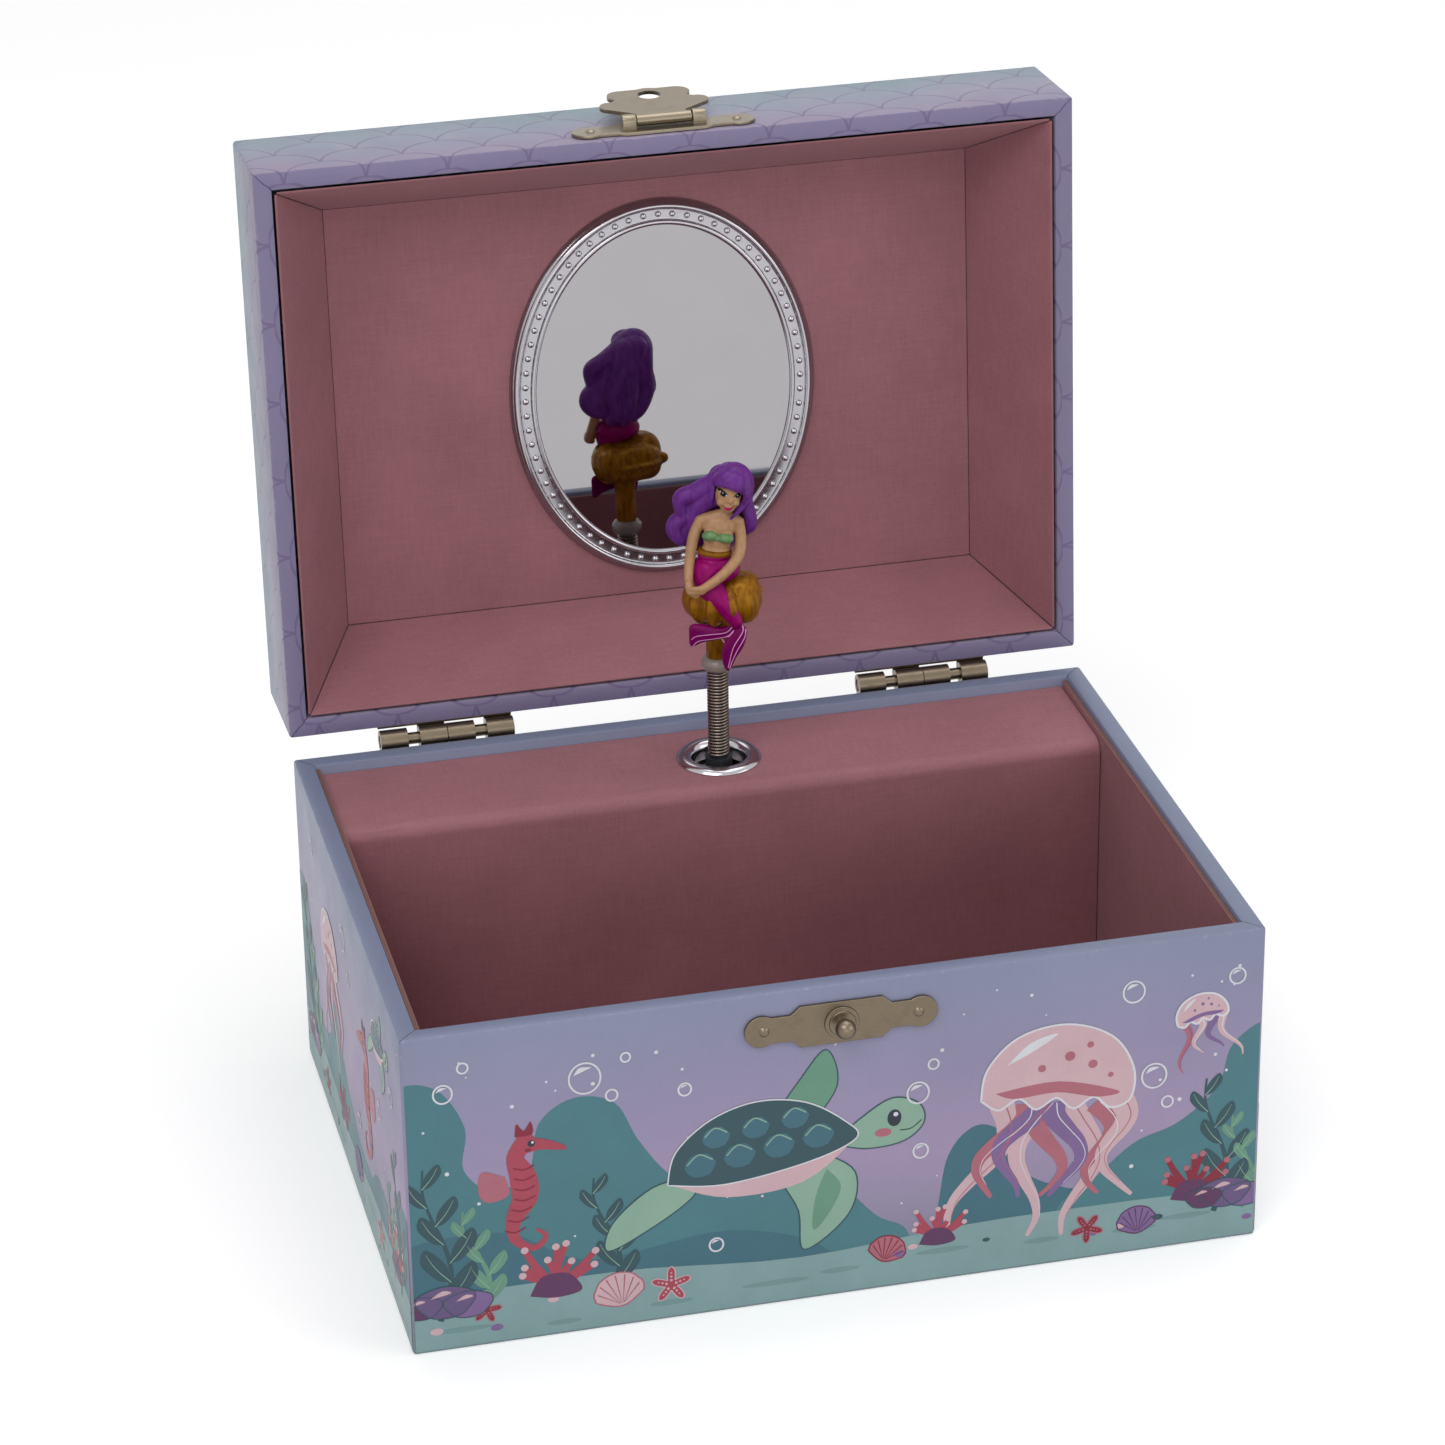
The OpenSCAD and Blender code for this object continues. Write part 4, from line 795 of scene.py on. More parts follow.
def egg(centre, half, lean=0, spin=0, square=1, n=28):
    """Ellipsoid; a square below 1 makes it boxier."""
    def f(t):
        return copysign(abs(t) ** square, t)
    turn = Matrix.Rotation(radians(spin), 3, "Z") @ Matrix.Rotation(radians(lean), 3, "Y")
    rings = []
    for a in [pi * i / (n // 2) for i in range(1, n // 2)]:
        wide, high = f(sin(a)), -half[2] * f(cos(a))
        ring = [Vector((half[0] * wide * f(c), half[1] * wide * f(s), high)) for c, s in circle(n)]
        rings.append([tuple(seated(centre) + turn @ p) for p in ring])
    return loft(rings, ends=True)


def plate(outline, near, thick, bow):
    """Sheet with a smooth closed outline in (across, up), bowed toward the viewer in its middle."""
    edge = curve(list(outline) + [outline[0]], 6)[:-1]
    mid = [sum(p[k] for p in edge) / len(edge) for k in (0, 1)]
    rings = []
    for share, side in ((0.02, 1), (0.5, 1), (0.88, 1), (1, 0), (0.88, -1), (0.5, -1), (0.02, -1)):
        depth = near + bow * (1 - share * share) + side * thick / 2
        rings.append([tuple(seated((mid[0] + (u - mid[0]) * share, depth, mid[1] + (z - mid[1]) * share)))
                      for u, z in edge])
    return loft(rings, ends=True)


def hoop(x, y, rx, ry, z, dip, r):
    """Band round the waist, dipping toward its left side."""
    return limb(*[(x + rx * c, y + ry * s, z - dip * c, r) for c, s in circle(24) + circle(1)], steps=2)


def moulded(name, mat, parts, node, voxel, smooth, carve=None):
    """One skin over all the parts, smoothed as if cast."""
    ob = build(name, joined(parts), [mat], SEAT)
    modify(ob, "REMESH", mode="VOXEL", voxel_size=voxel * MM)
    if carve:
        cut(ob, build("carver", carve, [mat], SEAT))
        modify(ob, "REMESH", mode="VOXEL", voxel_size=voxel * MM)
    modify(ob, "SMOOTH", factor=0.6, iterations=smooth)
    ob.data.materials.clear()
    ob.data.materials.append(mat)
    ob.data.shade_smooth()
    return wrap_up(ob, "figure", (node,))


def doll_part(name, mat, parts, voxel, smooth, carve=None):
    return moulded("mermaid_" + name, mat, parts, "mermaid_figure", voxel, smooth, carve)


def face_opening():
    """Room for the face below the fringe."""
    line = [(0.1, 28.7), (1.2, 28.95), (2.2, 28.85), (3.4, 28.3), (4.5, 27.6), (5, 27), (4.75, 25.6),
            (3.6, 24), (2.6, 22.4), (1, 22.6), (-0.3, 24.6), (-0.1, 26.6)]
    edge = curve(line + [line[0]], 4)[:-1]
    return loft([[tuple(seated((u, near, z))) for u, z in edge] for near in (1, 9)], ends=True)


def make_figure():
    skin = doll_part("skin", SKIN_PAINT, [
        egg((2.45, 1.35, 26.6), (2.4, 2.6, 3), 8), egg((2.3, 2.5, 25), (1.5, 1.45, 1.5), 8),
        egg((2.85, 3.95, 26.15), (0.24, 0.34, 0.5), 8), egg((1.15, 2.9, 25.7), (0.9, 0.9, 0.8)),
        egg((3.55, 2.8, 25.5), (0.85, 0.9, 0.8)),
        limb((1.3, 0.9, 21.4, 1.3), (1.9, 1.2, 23.2, 1), (2.3, 1.3, 25, 1.1)),
        limb((-2.2, 0.8, 21.4, 1.15), (0.4, 1, 22.1, 1.25), (1.6, 1, 22.2, 1.25), (4.1, 0.9, 20.9, 1.15)),
        egg((0.7, 1.3, 20.2), (2.9, 1.7, 2.3)), egg((0.3, 1.5, 17.6), (2.5, 1.6, 2.8)),
        egg((-0.9, 2.3, 19), (1.35, 1.35, 1.2)), egg((1.9, 2.3, 18.6), (1.35, 1.35, 1.2)),
        egg((0, 1.5, 15.4), (2.7, 1.8, 2.4)),
        limb((-2.6, 0.8, 21.4, 1.05), (-3.9, 1.4, 18.4, 1.06), (-4.6, 2.2, 14.6, 0.96),
             (-4.9, 3.9, 11.6, 0.88), (-4.7, 5.2, 9.9, 0.8)),
        limb((4.2, 0.9, 20.9, 1.05), (4.5, 1.5, 17.6, 1.05), (4, 3.2, 15.2, 1.02), (1.8, 5.4, 13.2, 0.96),
             (-1.2, 6.4, 11.1, 0.86), (-3, 6.6, 10.1, 0.75)),
        limb((-4.9, 5, 10.9, 0.75), (-4.6, 5.8, 9.8, 0.85), (-3.6, 6.4, 9.2, 0.7)),
        limb((-2.6, 6.8, 10.5, 0.6), (-3.8, 6.8, 10.5, 0.5), (-4.8, 6.3, 10.3, 0.36)),
        limb((-2.4, 6.8, 9.9, 0.5), (-3.9, 6.9, 9.8, 0.4), (-4.9, 6.3, 9.6, 0.34)),
    ], 0.16, 5)
    doll_part("hair", HAIR_PAINT, [
        egg((3.2, -0.1, 27.6), (3.9, 4.1, 4.3), 10), egg((2.9, 1.6, 28.9), (3.3, 2.9, 2.5), 14),
        limb((1.8, -0.2, 29, 2.5), (-0.6, -0.3, 27.7, 2), (-3.4, -0.3, 26.3, 1.75), (-5.9, -0.4, 25.2, 1.6),
             (-6.1, -0.4, 23.2, 1.35), (-5.6, -0.5, 21.5, 1.3), steps=10),
        limb((0.4, -0.2, 26.4, 2.3), (-2, -0.5, 24.6, 2), (-3.6, -0.8, 22.4, 1.8), (-3.9, -1.1, 19.4, 1.9),
             (-3.6, -1.4, 17.6, 1.5)),
        limb((-5.2, -0.6, 21.6, 1.4), (-7, -0.6, 20.4, 1.5), (-7.3, -0.7, 18.8, 1.6), (-6.2, -0.8, 17.3, 1.5),
             (-4.6, -1.2, 16.6, 1.3)),
        egg((-5.3, -1.1, 18.9), (2.3, 1.4, 2.4)),
        limb((1.2, -2, 28.4, 2.4), (-0.6, -2.6, 24.4, 2.3), (-2.6, -2.5, 20.4, 2), (-2.2, -2.6, 16.6, 1.8),
             (-3.2, -2.2, 15, 1.1)),
        limb((2.6, -2.6, 28.6, 2.4), (1, -3.1, 24.4, 2), (0.6, -3.4, 20, 1.8), (-0.2, -3, 16, 1.6),
             (-0.8, -2.6, 14.4, 0.9)),
        limb((4, -2, 28, 2.4), (3.8, -2.8, 24.2, 2.1), (4.2, -2.8, 20.2, 1.8), (2.8, -2.8, 16.8, 1.5),
             (1.6, -2.6, 15, 0.9)),
        limb((5.6, -0.6, 27.4, 1.5), (5.6, -0.3, 24.4, 1.2), (6.1, -0.3, 21.6, 1.35), (6.3, -0.4, 19.7, 1.2),
             (5.7, -0.7, 18.5, 0.8)),
        limb((5.2, 1.2, 27.4, 0.9), (5.3, 1.6, 25.2, 0.7), (4.4, 2.2, 23.8, 0.55), (3.3, 2.6, 22.9, 0.4),
             (2.7, 2.6, 22.2, 0.25)),
    ], 0.17, 6, face_opening())
    tail = doll_part("tail", TAIL_PAINT, [
        egg((-0.1, 1.5, 12.3), (4.5, 3.1, 2.7), 4),
        limb((-0.3, 1.5, 14, 2.3), (-0.6, 1.7, 13, 2.9), (-1.2, 2.3, 11.6, 3.1), (-1.2, 3.4, 9.6, 2.5),
             (0.5, 4.8, 7.7, 2.1), (2.1, 5.2, 5.6, 1.7), (3.4, 5.3, 3.4, 1.3)),
        plate(((3.9, 3.3), (1.4, 1.9), (-2, 2.5), (-4.7, 2.5), (-5.1, 0.6), (-4.8, -1.9), (-2.8, -1.1),
               (0.2, -0.5), (2.2, 0.3)), 4.5, 1, 0.35),
        plate(((3.4, 3), (4.55, 2.75), (5.45, 1.6), (5, -1.3), (3.4, -4.1), (2.2, -6.6), (1.2, -5.9),
               (0.7, -3.2), (1.4, -0.6), (2.7, 1.8)), 5.1, 1, 0.35),
        hoop(-0.25, 1.5, 2.45, 1.65, 14.95, 0, 0.62),
    ], 0.16, 4)
    doll_part("top", TOP_PAINT, [
        egg((-1, 2.75, 19.15), (1.45, 1.2, 1), -6), egg((1.85, 2.75, 18.65), (1.45, 1.2, 1), 10),
        limb((-0.4, 3, 18.8, 0.55), (1.2, 3, 18.5, 0.55)),
    ], 0.12, 2)
    doll_part("belt", BELT_PAINT, [hoop(-0.2, 1.55, 2.6, 1.75, 15.55, 0.24, 0.6)], 0.12, 2)
    return skin, tail


def make_seat():
    """The clam: a boxy body and beak, six flutes across the top, and a ribbed lip at the back."""
    shell = [egg((0.8, 0.3, 5.9), (6.9, 5.4, 4.1), square=0.8),
             egg((4.3, 0.9, 6.2), (3.6, 3.9, 4.7), square=0.7),
             limb((5.6, -1.8, 5.8, 2), (7.3, -2.5, 6, 1.1))]
    for k in range(6):
        a = radians(6 + 34 * k)
        shell.append(egg((1 + 3.6 * cos(a), 0.3 + 3.1 * sin(a), 5.8), (3.7, 1.7, 4.25), 0, -degrees(a)))
    for k in range(14):
        shell.append(limb(*[(1 + 6.7 * cos(t), 0.2 + 5.6 * sin(t), 5.7, 0.5)
                            for t in (pi * (1 + k / 14), pi * (1 + (k + 1) / 14))], steps=2))
    moulded("clam_moulded", FINISHES["gold_paint"], shell, "clam_seat", 0.2, 6)
    profile = [(0, -5.85), (1.9, -5.85), (1.98, -5.7), (2, -3), (2.02, 0), (2.1, 1.4), (2.5, 2.6), (2.6, 3.6),
               (0, 3.7)]
    piece("gold_post", lathe(profile, 48), "figure", "gold_paint", "seat_post")


# ---- Flat shapes: print and painted detail ----

class Print:
    """Flat coloured shapes in layers, clipped to an area and mapped to a surface by place(u, v, lift)."""

    def __init__(self, area=None, step=0.012):
        self.verts, self.faces, self.colours = [], [], []
        self.area, self.step, self.count = area, step, 0
        self.at(0, 0, 1, 0)

    def at(self, u, v, size, layer, flip=1, lean=0):
        """What follows is drawn about (u, v) in units of size, above layer; lines keep their width."""
        c, s = cos(lean), sin(lean)
        self.size, self.layer = size, layer
        self.put = lambda a, b: (u + size * flip * (a * c - b * s), v + size * (a * s + b * c))

    def clip(self, poly):
        if not self.area:
            return poly
        u0, u1, v0, v1 = self.area
        for axis, limit, sign in ((0, u0, 1), (0, u1, -1), (1, v0, 1), (1, v1, -1)):
            out = []
            for i, p in enumerate(poly):
                q = poly[(i + 1) % len(poly)]
                a, b = sign * (p[axis] - limit), sign * (q[axis] - limit)
                if a >= 0:
                    out.append(p)
                if a * b < 0:
                    t = a / (a - b)
                    out.append([p[0] + (q[0] - p[0]) * t, p[1] + (q[1] - p[1]) * t])
            poly = out
        return poly

    def shape(self, poly, colour, layer):
        poly = self.clip([list(p) for p in poly])
        if len(poly) < 3:
            return
        layer += self.layer + 0.02 * (self.count % 40)   # keeps overlapping shapes of a layer apart
        start = len(self.verts)
        flat = [Vector((p[0], p[1], 0)) for p in poly]
        self.verts += [(p[0], p[1], layer) for p in poly]
        for tri in geometry.tessellate_polygon([flat]):
            self.faces.append(tuple(start + i for i in tri))
            self.colours.append(colour)

    def fill(self, points, colour, layer=0, steps=5):
        self.count += 1
        points = [self.put(*p) for p in points]
        self.shape(curve(points + points[:1], steps)[:-1], colour, layer)

    def disc(self, a, b, r, colour, layer=0, ry=None, n=20):
        self.count += 1
        u, v = self.put(a, b)
        ring = [(u + self.size * r * c, v + self.size * (ry or r) * s) for c, s in circle(n)]
        self.shape(ring, colour, layer)

    def line(self, points, width, colour, layer=0, tip=0.3, tail=1, steps=6):
        """Brushed stroke that narrows from tail to tip, or takes a width for each stop."""
        self.count += 1
        points = [self.put(*p) for p in points]
        wide = curve([(w, 0) for w in width], steps) if isinstance(width, list) else None
        path = curve(points, steps) if len(points) > 2 else [list(p) for p in points]
        left, right = [], []
        for i, p in enumerate(path):
            a, b = path[max(i - 1, 0)], path[min(i + 1, len(path) - 1)]
            du, dv = b[0] - a[0], b[1] - a[1]
            size = hypot(du, dv) or 1
            t = i / (len(path) - 1)
            w = wide[i][0] / 2 if wide else width / 2 * (tail + (tip - tail) * t)
            left.append((p[0] - dv / size * w, p[1] + du / size * w))
            right.append((p[0] + dv / size * w, p[1] - du / size * w))
        for i in range(len(path) - 1):
            self.shape([left[i], left[i + 1], right[i + 1], right[i]], colour, layer)

    def outlined(self, points, colour, layer, edge, width=0.3, steps=5):
        self.fill(points, colour, layer, steps)
        self.line(list(points) + [points[0]], width, edge, layer + 1, 1)

    def make(self, name, mat, place, body, slot, *nodes, fine=None):
        """The mesh, bent onto its surface; fine is the longest edge before the bending."""
        mesh = bpy.data.meshes.new(name)
        mesh.from_pydata(self.verts, [], self.faces)
        mesh.materials.append(mat)
        layer = mesh.color_attributes.new("ink", "FLOAT_COLOR", "CORNER")
        layer.data.foreach_set("color", [c for colour in self.colours for c in colour * 3])
        if fine:
            with editing(mesh) as bm:
                for _ in range(4):
                    long = [e for e in bm.edges if e.calc_length() > fine]
                    bmesh.ops.subdivide_edges(bm, edges=long, cuts=1)
                    bmesh.ops.triangulate(bm, faces=bm.faces)
        for vert in mesh.vertices:
            vert.co = place(vert.co.x, vert.co.y, vert.co.z * self.step)
        mesh.update()
        wrap_up(add_object(name, mesh, PLACES.get(body)), body, nodes)


def onto(ob):
    """Place for painted detail: straight back onto a piece of the figure."""
    tree = BVHTree.FromPolygons([v.co for v in ob.data.vertices], [p.vertices for p in ob.data.polygons])

    def place(u, v, lift):
        spot = tree.ray_cast(Vector((u, -15, v)) * MM, Vector((0, 1, 0)))[0]
        if spot is None:
            spot = tree.find_nearest(Vector((u, -5, v)) * MM)[0]
        return spot + Vector((0, -1, 0)) * (lift + 0.03) * MM
    return place


def paint_figure(skin, tail):
    p = Print(step=0.04)
    black, white, pink, dark_pink = rgb(14, 10, 16), rgb(206, 204, 200), rgb(190, 22, 100), rgb(110, 6, 52)
    for points in (((0.85, 27.88), (1.3, 27.97), (1.9, 27.74), (2.3, 27.42), (1.9, 27.2), (1.35, 27.28)),
                   ((3.5, 26.94), (3.85, 27.2), (4.25, 27.34), (4.6, 27.3), (4.3, 26.86), (3.9, 26.74))):
        p.fill(points, white, 1)
    p.disc(1.5, 27.58, 0.5, black, 2, 0.47)
    p.disc(4.12, 27.03, 0.44, black, 2, 0.4)
    p.line([(0.6, 28.02), (1.15, 28.12), (1.8, 27.88), (2.3, 27.46)], 0.34, black, 3, 0.4)
    p.line([(3.4, 27), (3.85, 27.3), (4.4, 27.46), (4.95, 27.52)], 0.32, black, 3, 0.9, 0.5)
    p.line([(0.95, 27.4), (1.5, 27.16), (2.1, 27.18)], 0.1, black, 3)
    p.disc(1.42, 27.74, 0.09, white, 4)
    p.disc(4.04, 27.16, 0.08, white, 4)
    p.line([(0.8, 28.5), (1.4, 28.64), (2.1, 28.42)], 0.1, black, 2, 0.3, 0.7)
    p.line([(3.6, 27.86), (4.1, 28.02), (4.6, 27.96)], 0.1, black, 2, 0.3, 0.7)
    p.fill(((1.3, 25.45), (1.85, 25.05), (2.35, 25), (2.85, 25), (3.4, 25.3), (2.95, 24.7), (2.35, 24.45),
            (1.75, 24.75)), pink, 2)
    p.line([(1.25, 25.5), (1.8, 24.98), (2.35, 24.8), (2.9, 24.9), (3.45, 25.35)], 0.08, dark_pink, 3, 1)
    p.make("face_paint", FACE_INK, onto(skin), "figure", "figure_paint", "mermaid_figure", fine=0.3)
    p = Print(step=0.02)
    pale = rgb(226, 160, 210)
    for points in (((2.88, 2.4), (1.67, 1.15), (-1, 0.85), (-3.6, 0.5), (-4.6, -0.25)),
                   ((3, 1.7), (1.8, 0.35), (-0.7, -0.1), (-3.3, -0.5), (-4.35, -1.6)),
                   ((4.6, 2.7), (4.6, 1.4), (2.9, -1.6), (1.95, -5.6)),
                   ((5.2, 1.9), (4.95, 0.3), (3.6, -2.2), (2.5, -4.8), (2.2, -6))):
        p.line(points, 0.24, pale, 1, 0.5, 0.8, 10)
    p.line([(0.9, -0.64), (1.34, -1.14)], 0.2, pale, 1)
    p.make("fin_stripes", FACE_INK, onto(tail), "figure", "figure_paint", "mermaid_figure", fine=0.3)


# ---- Motifs of the printed pictures ----

TEAL, DEEP, SEA, SHADE = rgb(72, 124, 134), rgb(60, 108, 124), rgb(134, 166, 168), rgb(118, 152, 152)
CREAM, ROSE, CORAL, CRIMSON = rgb(212, 178, 186), rgb(178, 104, 120), rgb(172, 66, 86), rgb(136, 26, 52)
MINT, LEAF, PINE, PALE = rgb(142, 178, 158), rgb(104, 152, 128), rgb(44, 78, 88), rgb(222, 222, 230)
MAUVE, STONE, PLUM, NIGHT = rgb(128, 100, 152), rgb(104, 84, 130), rgb(92, 48, 92), rgb(30, 40, 56)


def bubble(p, u, v, r):
    p.at(u, v, r, 6)
    ring = circle(18)
    p.line([(a, 1.08 * b) for a, b in ring + ring[:1]], 0.34, PALE, 0, 1, 1, 2)
    if r > 1:
        p.fill([(-0.72, 0.25), (-0.34, 0.78), (0.4, 0.72), (-0.1, 0.5)], PALE)
    if r > 2:
        p.disc(0.5, -0.45, 0.14, PALE)


def kelp(p, u, height, colour):
    foot, sway, leaves = 6, 2.2, 7

    def stem(t):
        return u + sway * sin(t * 5.2), foot + height * t
    p.at(0, 0, 1, 3)
    p.line([stem(i / 6) for i in range(7)], 1.1, colour)
    for k in range(1, leaves + 1):
        t = k / (leaves + 1)
        p.at(*stem(t), height * 0.14 * (1.25 - 0.6 * t), 4, 1 if k % 2 else -1)
        p.fill([(0, 0), (0.5, 0.15), (1.1, 0.9), (0.9, 1.5), (0.2, 0.8)], colour)
        p.line([(0, 0), (0.55, 0.65), (0.9, 1.3)], 0.18, MINT, 1)


def starfish(p, u, v, r, colour, dots, spin=0.3):
    p.at(u, v, r, 5)
    outline = []
    for a in [2 * pi * i / 30 for i in range(30)]:
        reach = 0.66 + 0.34 * cos(5 * a)
        outline.append((reach * cos(a + spin), reach * sin(a + spin)))
    p.outlined(outline, colour, 0, dots, 0.22, 3)
    for a in [2 * pi * k / 5 + spin for k in range(5)]:
        for d in (0.25, 0.45, 0.65):
            p.disc(d * cos(a), d * sin(a), 0.07 * (1.3 - d), dots, 1, n=8)


def scallop(p, u, v, r, colour, rib, lean=0):
    p.at(u, v, r, 5, 1, lean)
    edge = [((1 + 0.06 * abs(cos(4.5 * (a - pi / 2)))) * cos(a), 0.95 * sin(a) + 0.05)
            for a in [radians(-12 + 204 * i / 27) for i in range(28)]]
    p.outlined(edge + [(-0.28, -0.55), (0.28, -0.55)], colour, 0, rib, 0.26, 2)
    for a in [radians(12 + 26 * k) for k in range(7)]:
        p.line([(0.1 * cos(a), -0.45), (0.9 * cos(a), 0.85 * sin(a) + 0.05)], 0.26, rib, 2, 1, 0.3)


def jellyfish(p, u, v, size, under, ribbons, drop, lean, layer=3):
    p.at(u, v, size, layer, 1, lean)
    for k, colour in enumerate(ribbons):
        x = -0.72 + 1.44 * k / (len(ribbons) - 1)
        long = drop * (0.8 + 0.2 * cos(2.1 * k))
        path = [(x * (1 + 0.5 * t) + 0.22 * sin(6 * t + 0.9 * k), -0.05 - long * t)
                for t in [i / 7 for i in range(8)]]
        p.line(path, size * 0.34, colour, k % 3, 0.15)
        p.line([(a + 0.05, b) for a, b in path[:-1]], 0.22, PALE if k % 2 else under, 3, 0.4)
    bell = [(-1, 0), (-0.97, 0.45), (-0.62, 0.9), (0, 1.08), (0.62, 0.9), (0.97, 0.45), (1, 0), (0.75, -0.14),
            (0.5, 0.02), (0.25, -0.14), (0, 0.02), (-0.25, -0.14), (-0.5, 0.02), (-0.75, -0.14)]
    p.outlined(bell, CREAM, 4, PALE, 0.4)
    p.fill([(-0.82, 0.1), (0, 0.26), (0.82, 0.1), (0.55, 0.02), (0, 0.1), (-0.55, 0.02)], under, 5)
    p.fill([(-0.72, 0.5), (-0.45, 0.82), (-0.1, 0.95), (-0.4, 0.7)], PALE, 5)
    for k, spot in enumerate(((0.1, 0.62), (0.42, 0.5), (-0.25, 0.45), (0.35, 0.78), (0.68, 0.34))):
        p.disc(*spot, 0.07 - 0.008 * k, under, 5, n=12)


def turtle(p, u, v, size, flip=1, lean=0, layer=3):
    p.at(u, v, size, layer, flip, lean)
    p.outlined([(0.5, 0.2), (0.9, 0.65), (0.85, 1.1), (0.55, 0.85), (0.2, 0.4)], LEAF, 0, PINE, 0.24)
    for points in (
            ((0.75, -0.02), (1.1, 0.2), (1.45, 0.34), (1.72, 0.2), (1.74, -0.04), (1.5, -0.2), (1.1, -0.18)),
            ((0.62, -0.08), (0.95, -0.42), (0.82, -0.9), (0.3, -1.2), (0.3, -0.72), (0.18, -0.2)),
            ((-0.7, 0), (-1.15, 0), (-1.62, -0.3), (-1.72, -0.62), (-1.2, -0.46), (-0.75, -0.22))):
        p.outlined(points, MINT, 1, PINE, 0.26)
    p.fill([(0.66, -0.3), (0.78, -0.55), (0.6, -0.85), (0.42, -0.98), (0.5, -0.6)], LEAF, 2)
    p.fill([(-0.95, -0.04), (-0.4, -0.34), (0.4, -0.38), (0.98, -0.02), (0.5, -0.1), (-0.4, -0.1)], CREAM, 2)
    p.outlined([(-1, -0.02), (-0.86, 0.34), (-0.45, 0.62), (0.05, 0.7), (0.55, 0.55), (0.92, 0.22),
                (1.02, -0.02), (0.5, -0.16), (-0.4, -0.18)], PINE, 3, PALE, 0.26)
    for y, wide, r in ((0.12, 4, 0.17), (0.4, 3, 0.15)):
        for x in [(k - (wide - 1) / 2) * 0.42 for k in range(wide)]:
            p.fill([(x + r * a, y + 0.85 * r * b) for a, b in circle(6)], DEEP, 4, 2)
            arch = [(x - 0.8 * r, y + 0.2 * r), (x, y + 0.75 * r), (x + 0.8 * r, y + 0.2 * r)]
            p.line(arch, 0.24, MINT, 5, 1)
    p.disc(1.44, 0.1, 0.075, NIGHT, 3, 0.1)
    p.disc(1.46, 0.14, 0.026, PALE, 4)
    p.disc(1.3, -0.04, 0.09, ROSE, 3, 0.05)
    p.line([(1.72, 0), (1.6, -0.07), (1.48, -0.06)], 0.2, NIGHT, 3, 1)


def seahorse(p, u, v, size, flip=1):
    p.at(u, v, size, 4, flip)
    p.fill([(-0.2, 0.35), (-0.6, 0.5), (-0.66, 0.1), (-0.5, -0.1), (-0.15, 0)], ROSE)
    spine = [(0.16, 0.98), (-0.02, 0.7), (0.1, 0.3), (0.12, -0.1), (-0.08, -0.5), (-0.06, -0.9), (0.26, -1.1),
             (0.46, -0.9), (0.3, -0.74)]
    p.line(spine, [size * w for w in (0.34, 0.3, 0.46, 0.44, 0.28, 0.18, 0.12, 0.09, 0.05)], CORAL, 1)
    p.disc(0.16, 0.95, 0.19, CORAL, 2)
    p.fill([(0.1, 1), (0.4, 1.02), (0.8, 0.84), (0.82, 0.74), (0.42, 0.8), (0.12, 0.78)], CORAL, 3)
    p.fill([(-0.02, 1.1), (0.02, 1.34), (0.14, 1.2), (0.26, 1.36), (0.28, 1.12)], CRIMSON, 3)
    for k in range(7):
        x, y = 0.1 - 0.18 * max(0, k - 3) / 3, 0.5 - 0.2 * k
        p.line([(x - 0.16, y), (x + 0.02, y - 0.05), (x + 0.2, y + 0.02)], 0.24, CRIMSON, 4, 1)
    p.disc(0.26, 0.94, 0.065, NIGHT, 4)
    p.disc(0.28, 0.96, 0.024, PALE, 5)
    p.disc(0.2, 0.82, 0.06, CRIMSON, 4, 0.035)


def anemone(p, u, v, size, colour, tip):
    """Fan of soft arms with pale ends on a rounded foot."""
    arms = 9
    p.at(u, v, size, 4)
    for k in range(arms):
        a = radians(28 + 124 * k / (arms - 1))
        long, bend = 0.85 + 0.22 * sin(2.3 * k), 0.22 * sin(1.7 * k)
        end = long * cos(a) + bend * 0.2, long * sin(a)
        p.line([(0, 0), (0.5 * long * cos(a) + bend * 0.4, 0.5 * long * sin(a)), end], 0.19 * size,
               colour, 0, 0.6, 1)
        p.disc(*end, 0.075, tip, 1, n=12)
    p.fill([(-0.5, -0.12), (-0.3, 0.24), (0, 0.32), (0.3, 0.24), (0.5, -0.12), (0, -0.22)], PLUM, 1)


def rocks(p, u, v, size):
    p.at(u, v, size, 6)
    for x, y, r, colour in ((-0.7, 0, 0.6, PLUM), (0.65, -0.05, 0.7, MAUVE), (0, 0.1, 0.85, STONE)):
        p.outlined([(x + r * cos(a) * (1 + 0.12 * sin(3 * a)), y + 0.62 * r * sin(a))
                    for a in [pi * i / 6 for i in range(12)]], colour, 0, PINE, 0.2, 3)
        light = [(x - 0.5 * r, y + 0.2 * r), (x - 0.1 * r, y + 0.46 * r), (x + 0.2 * r, y + 0.34 * r)]
        p.fill(light, CREAM, 1, 3)


def mirrored(hills):
    return [([(-u, v) for u, v in points], colour, layer) for points, colour, layer in hills]


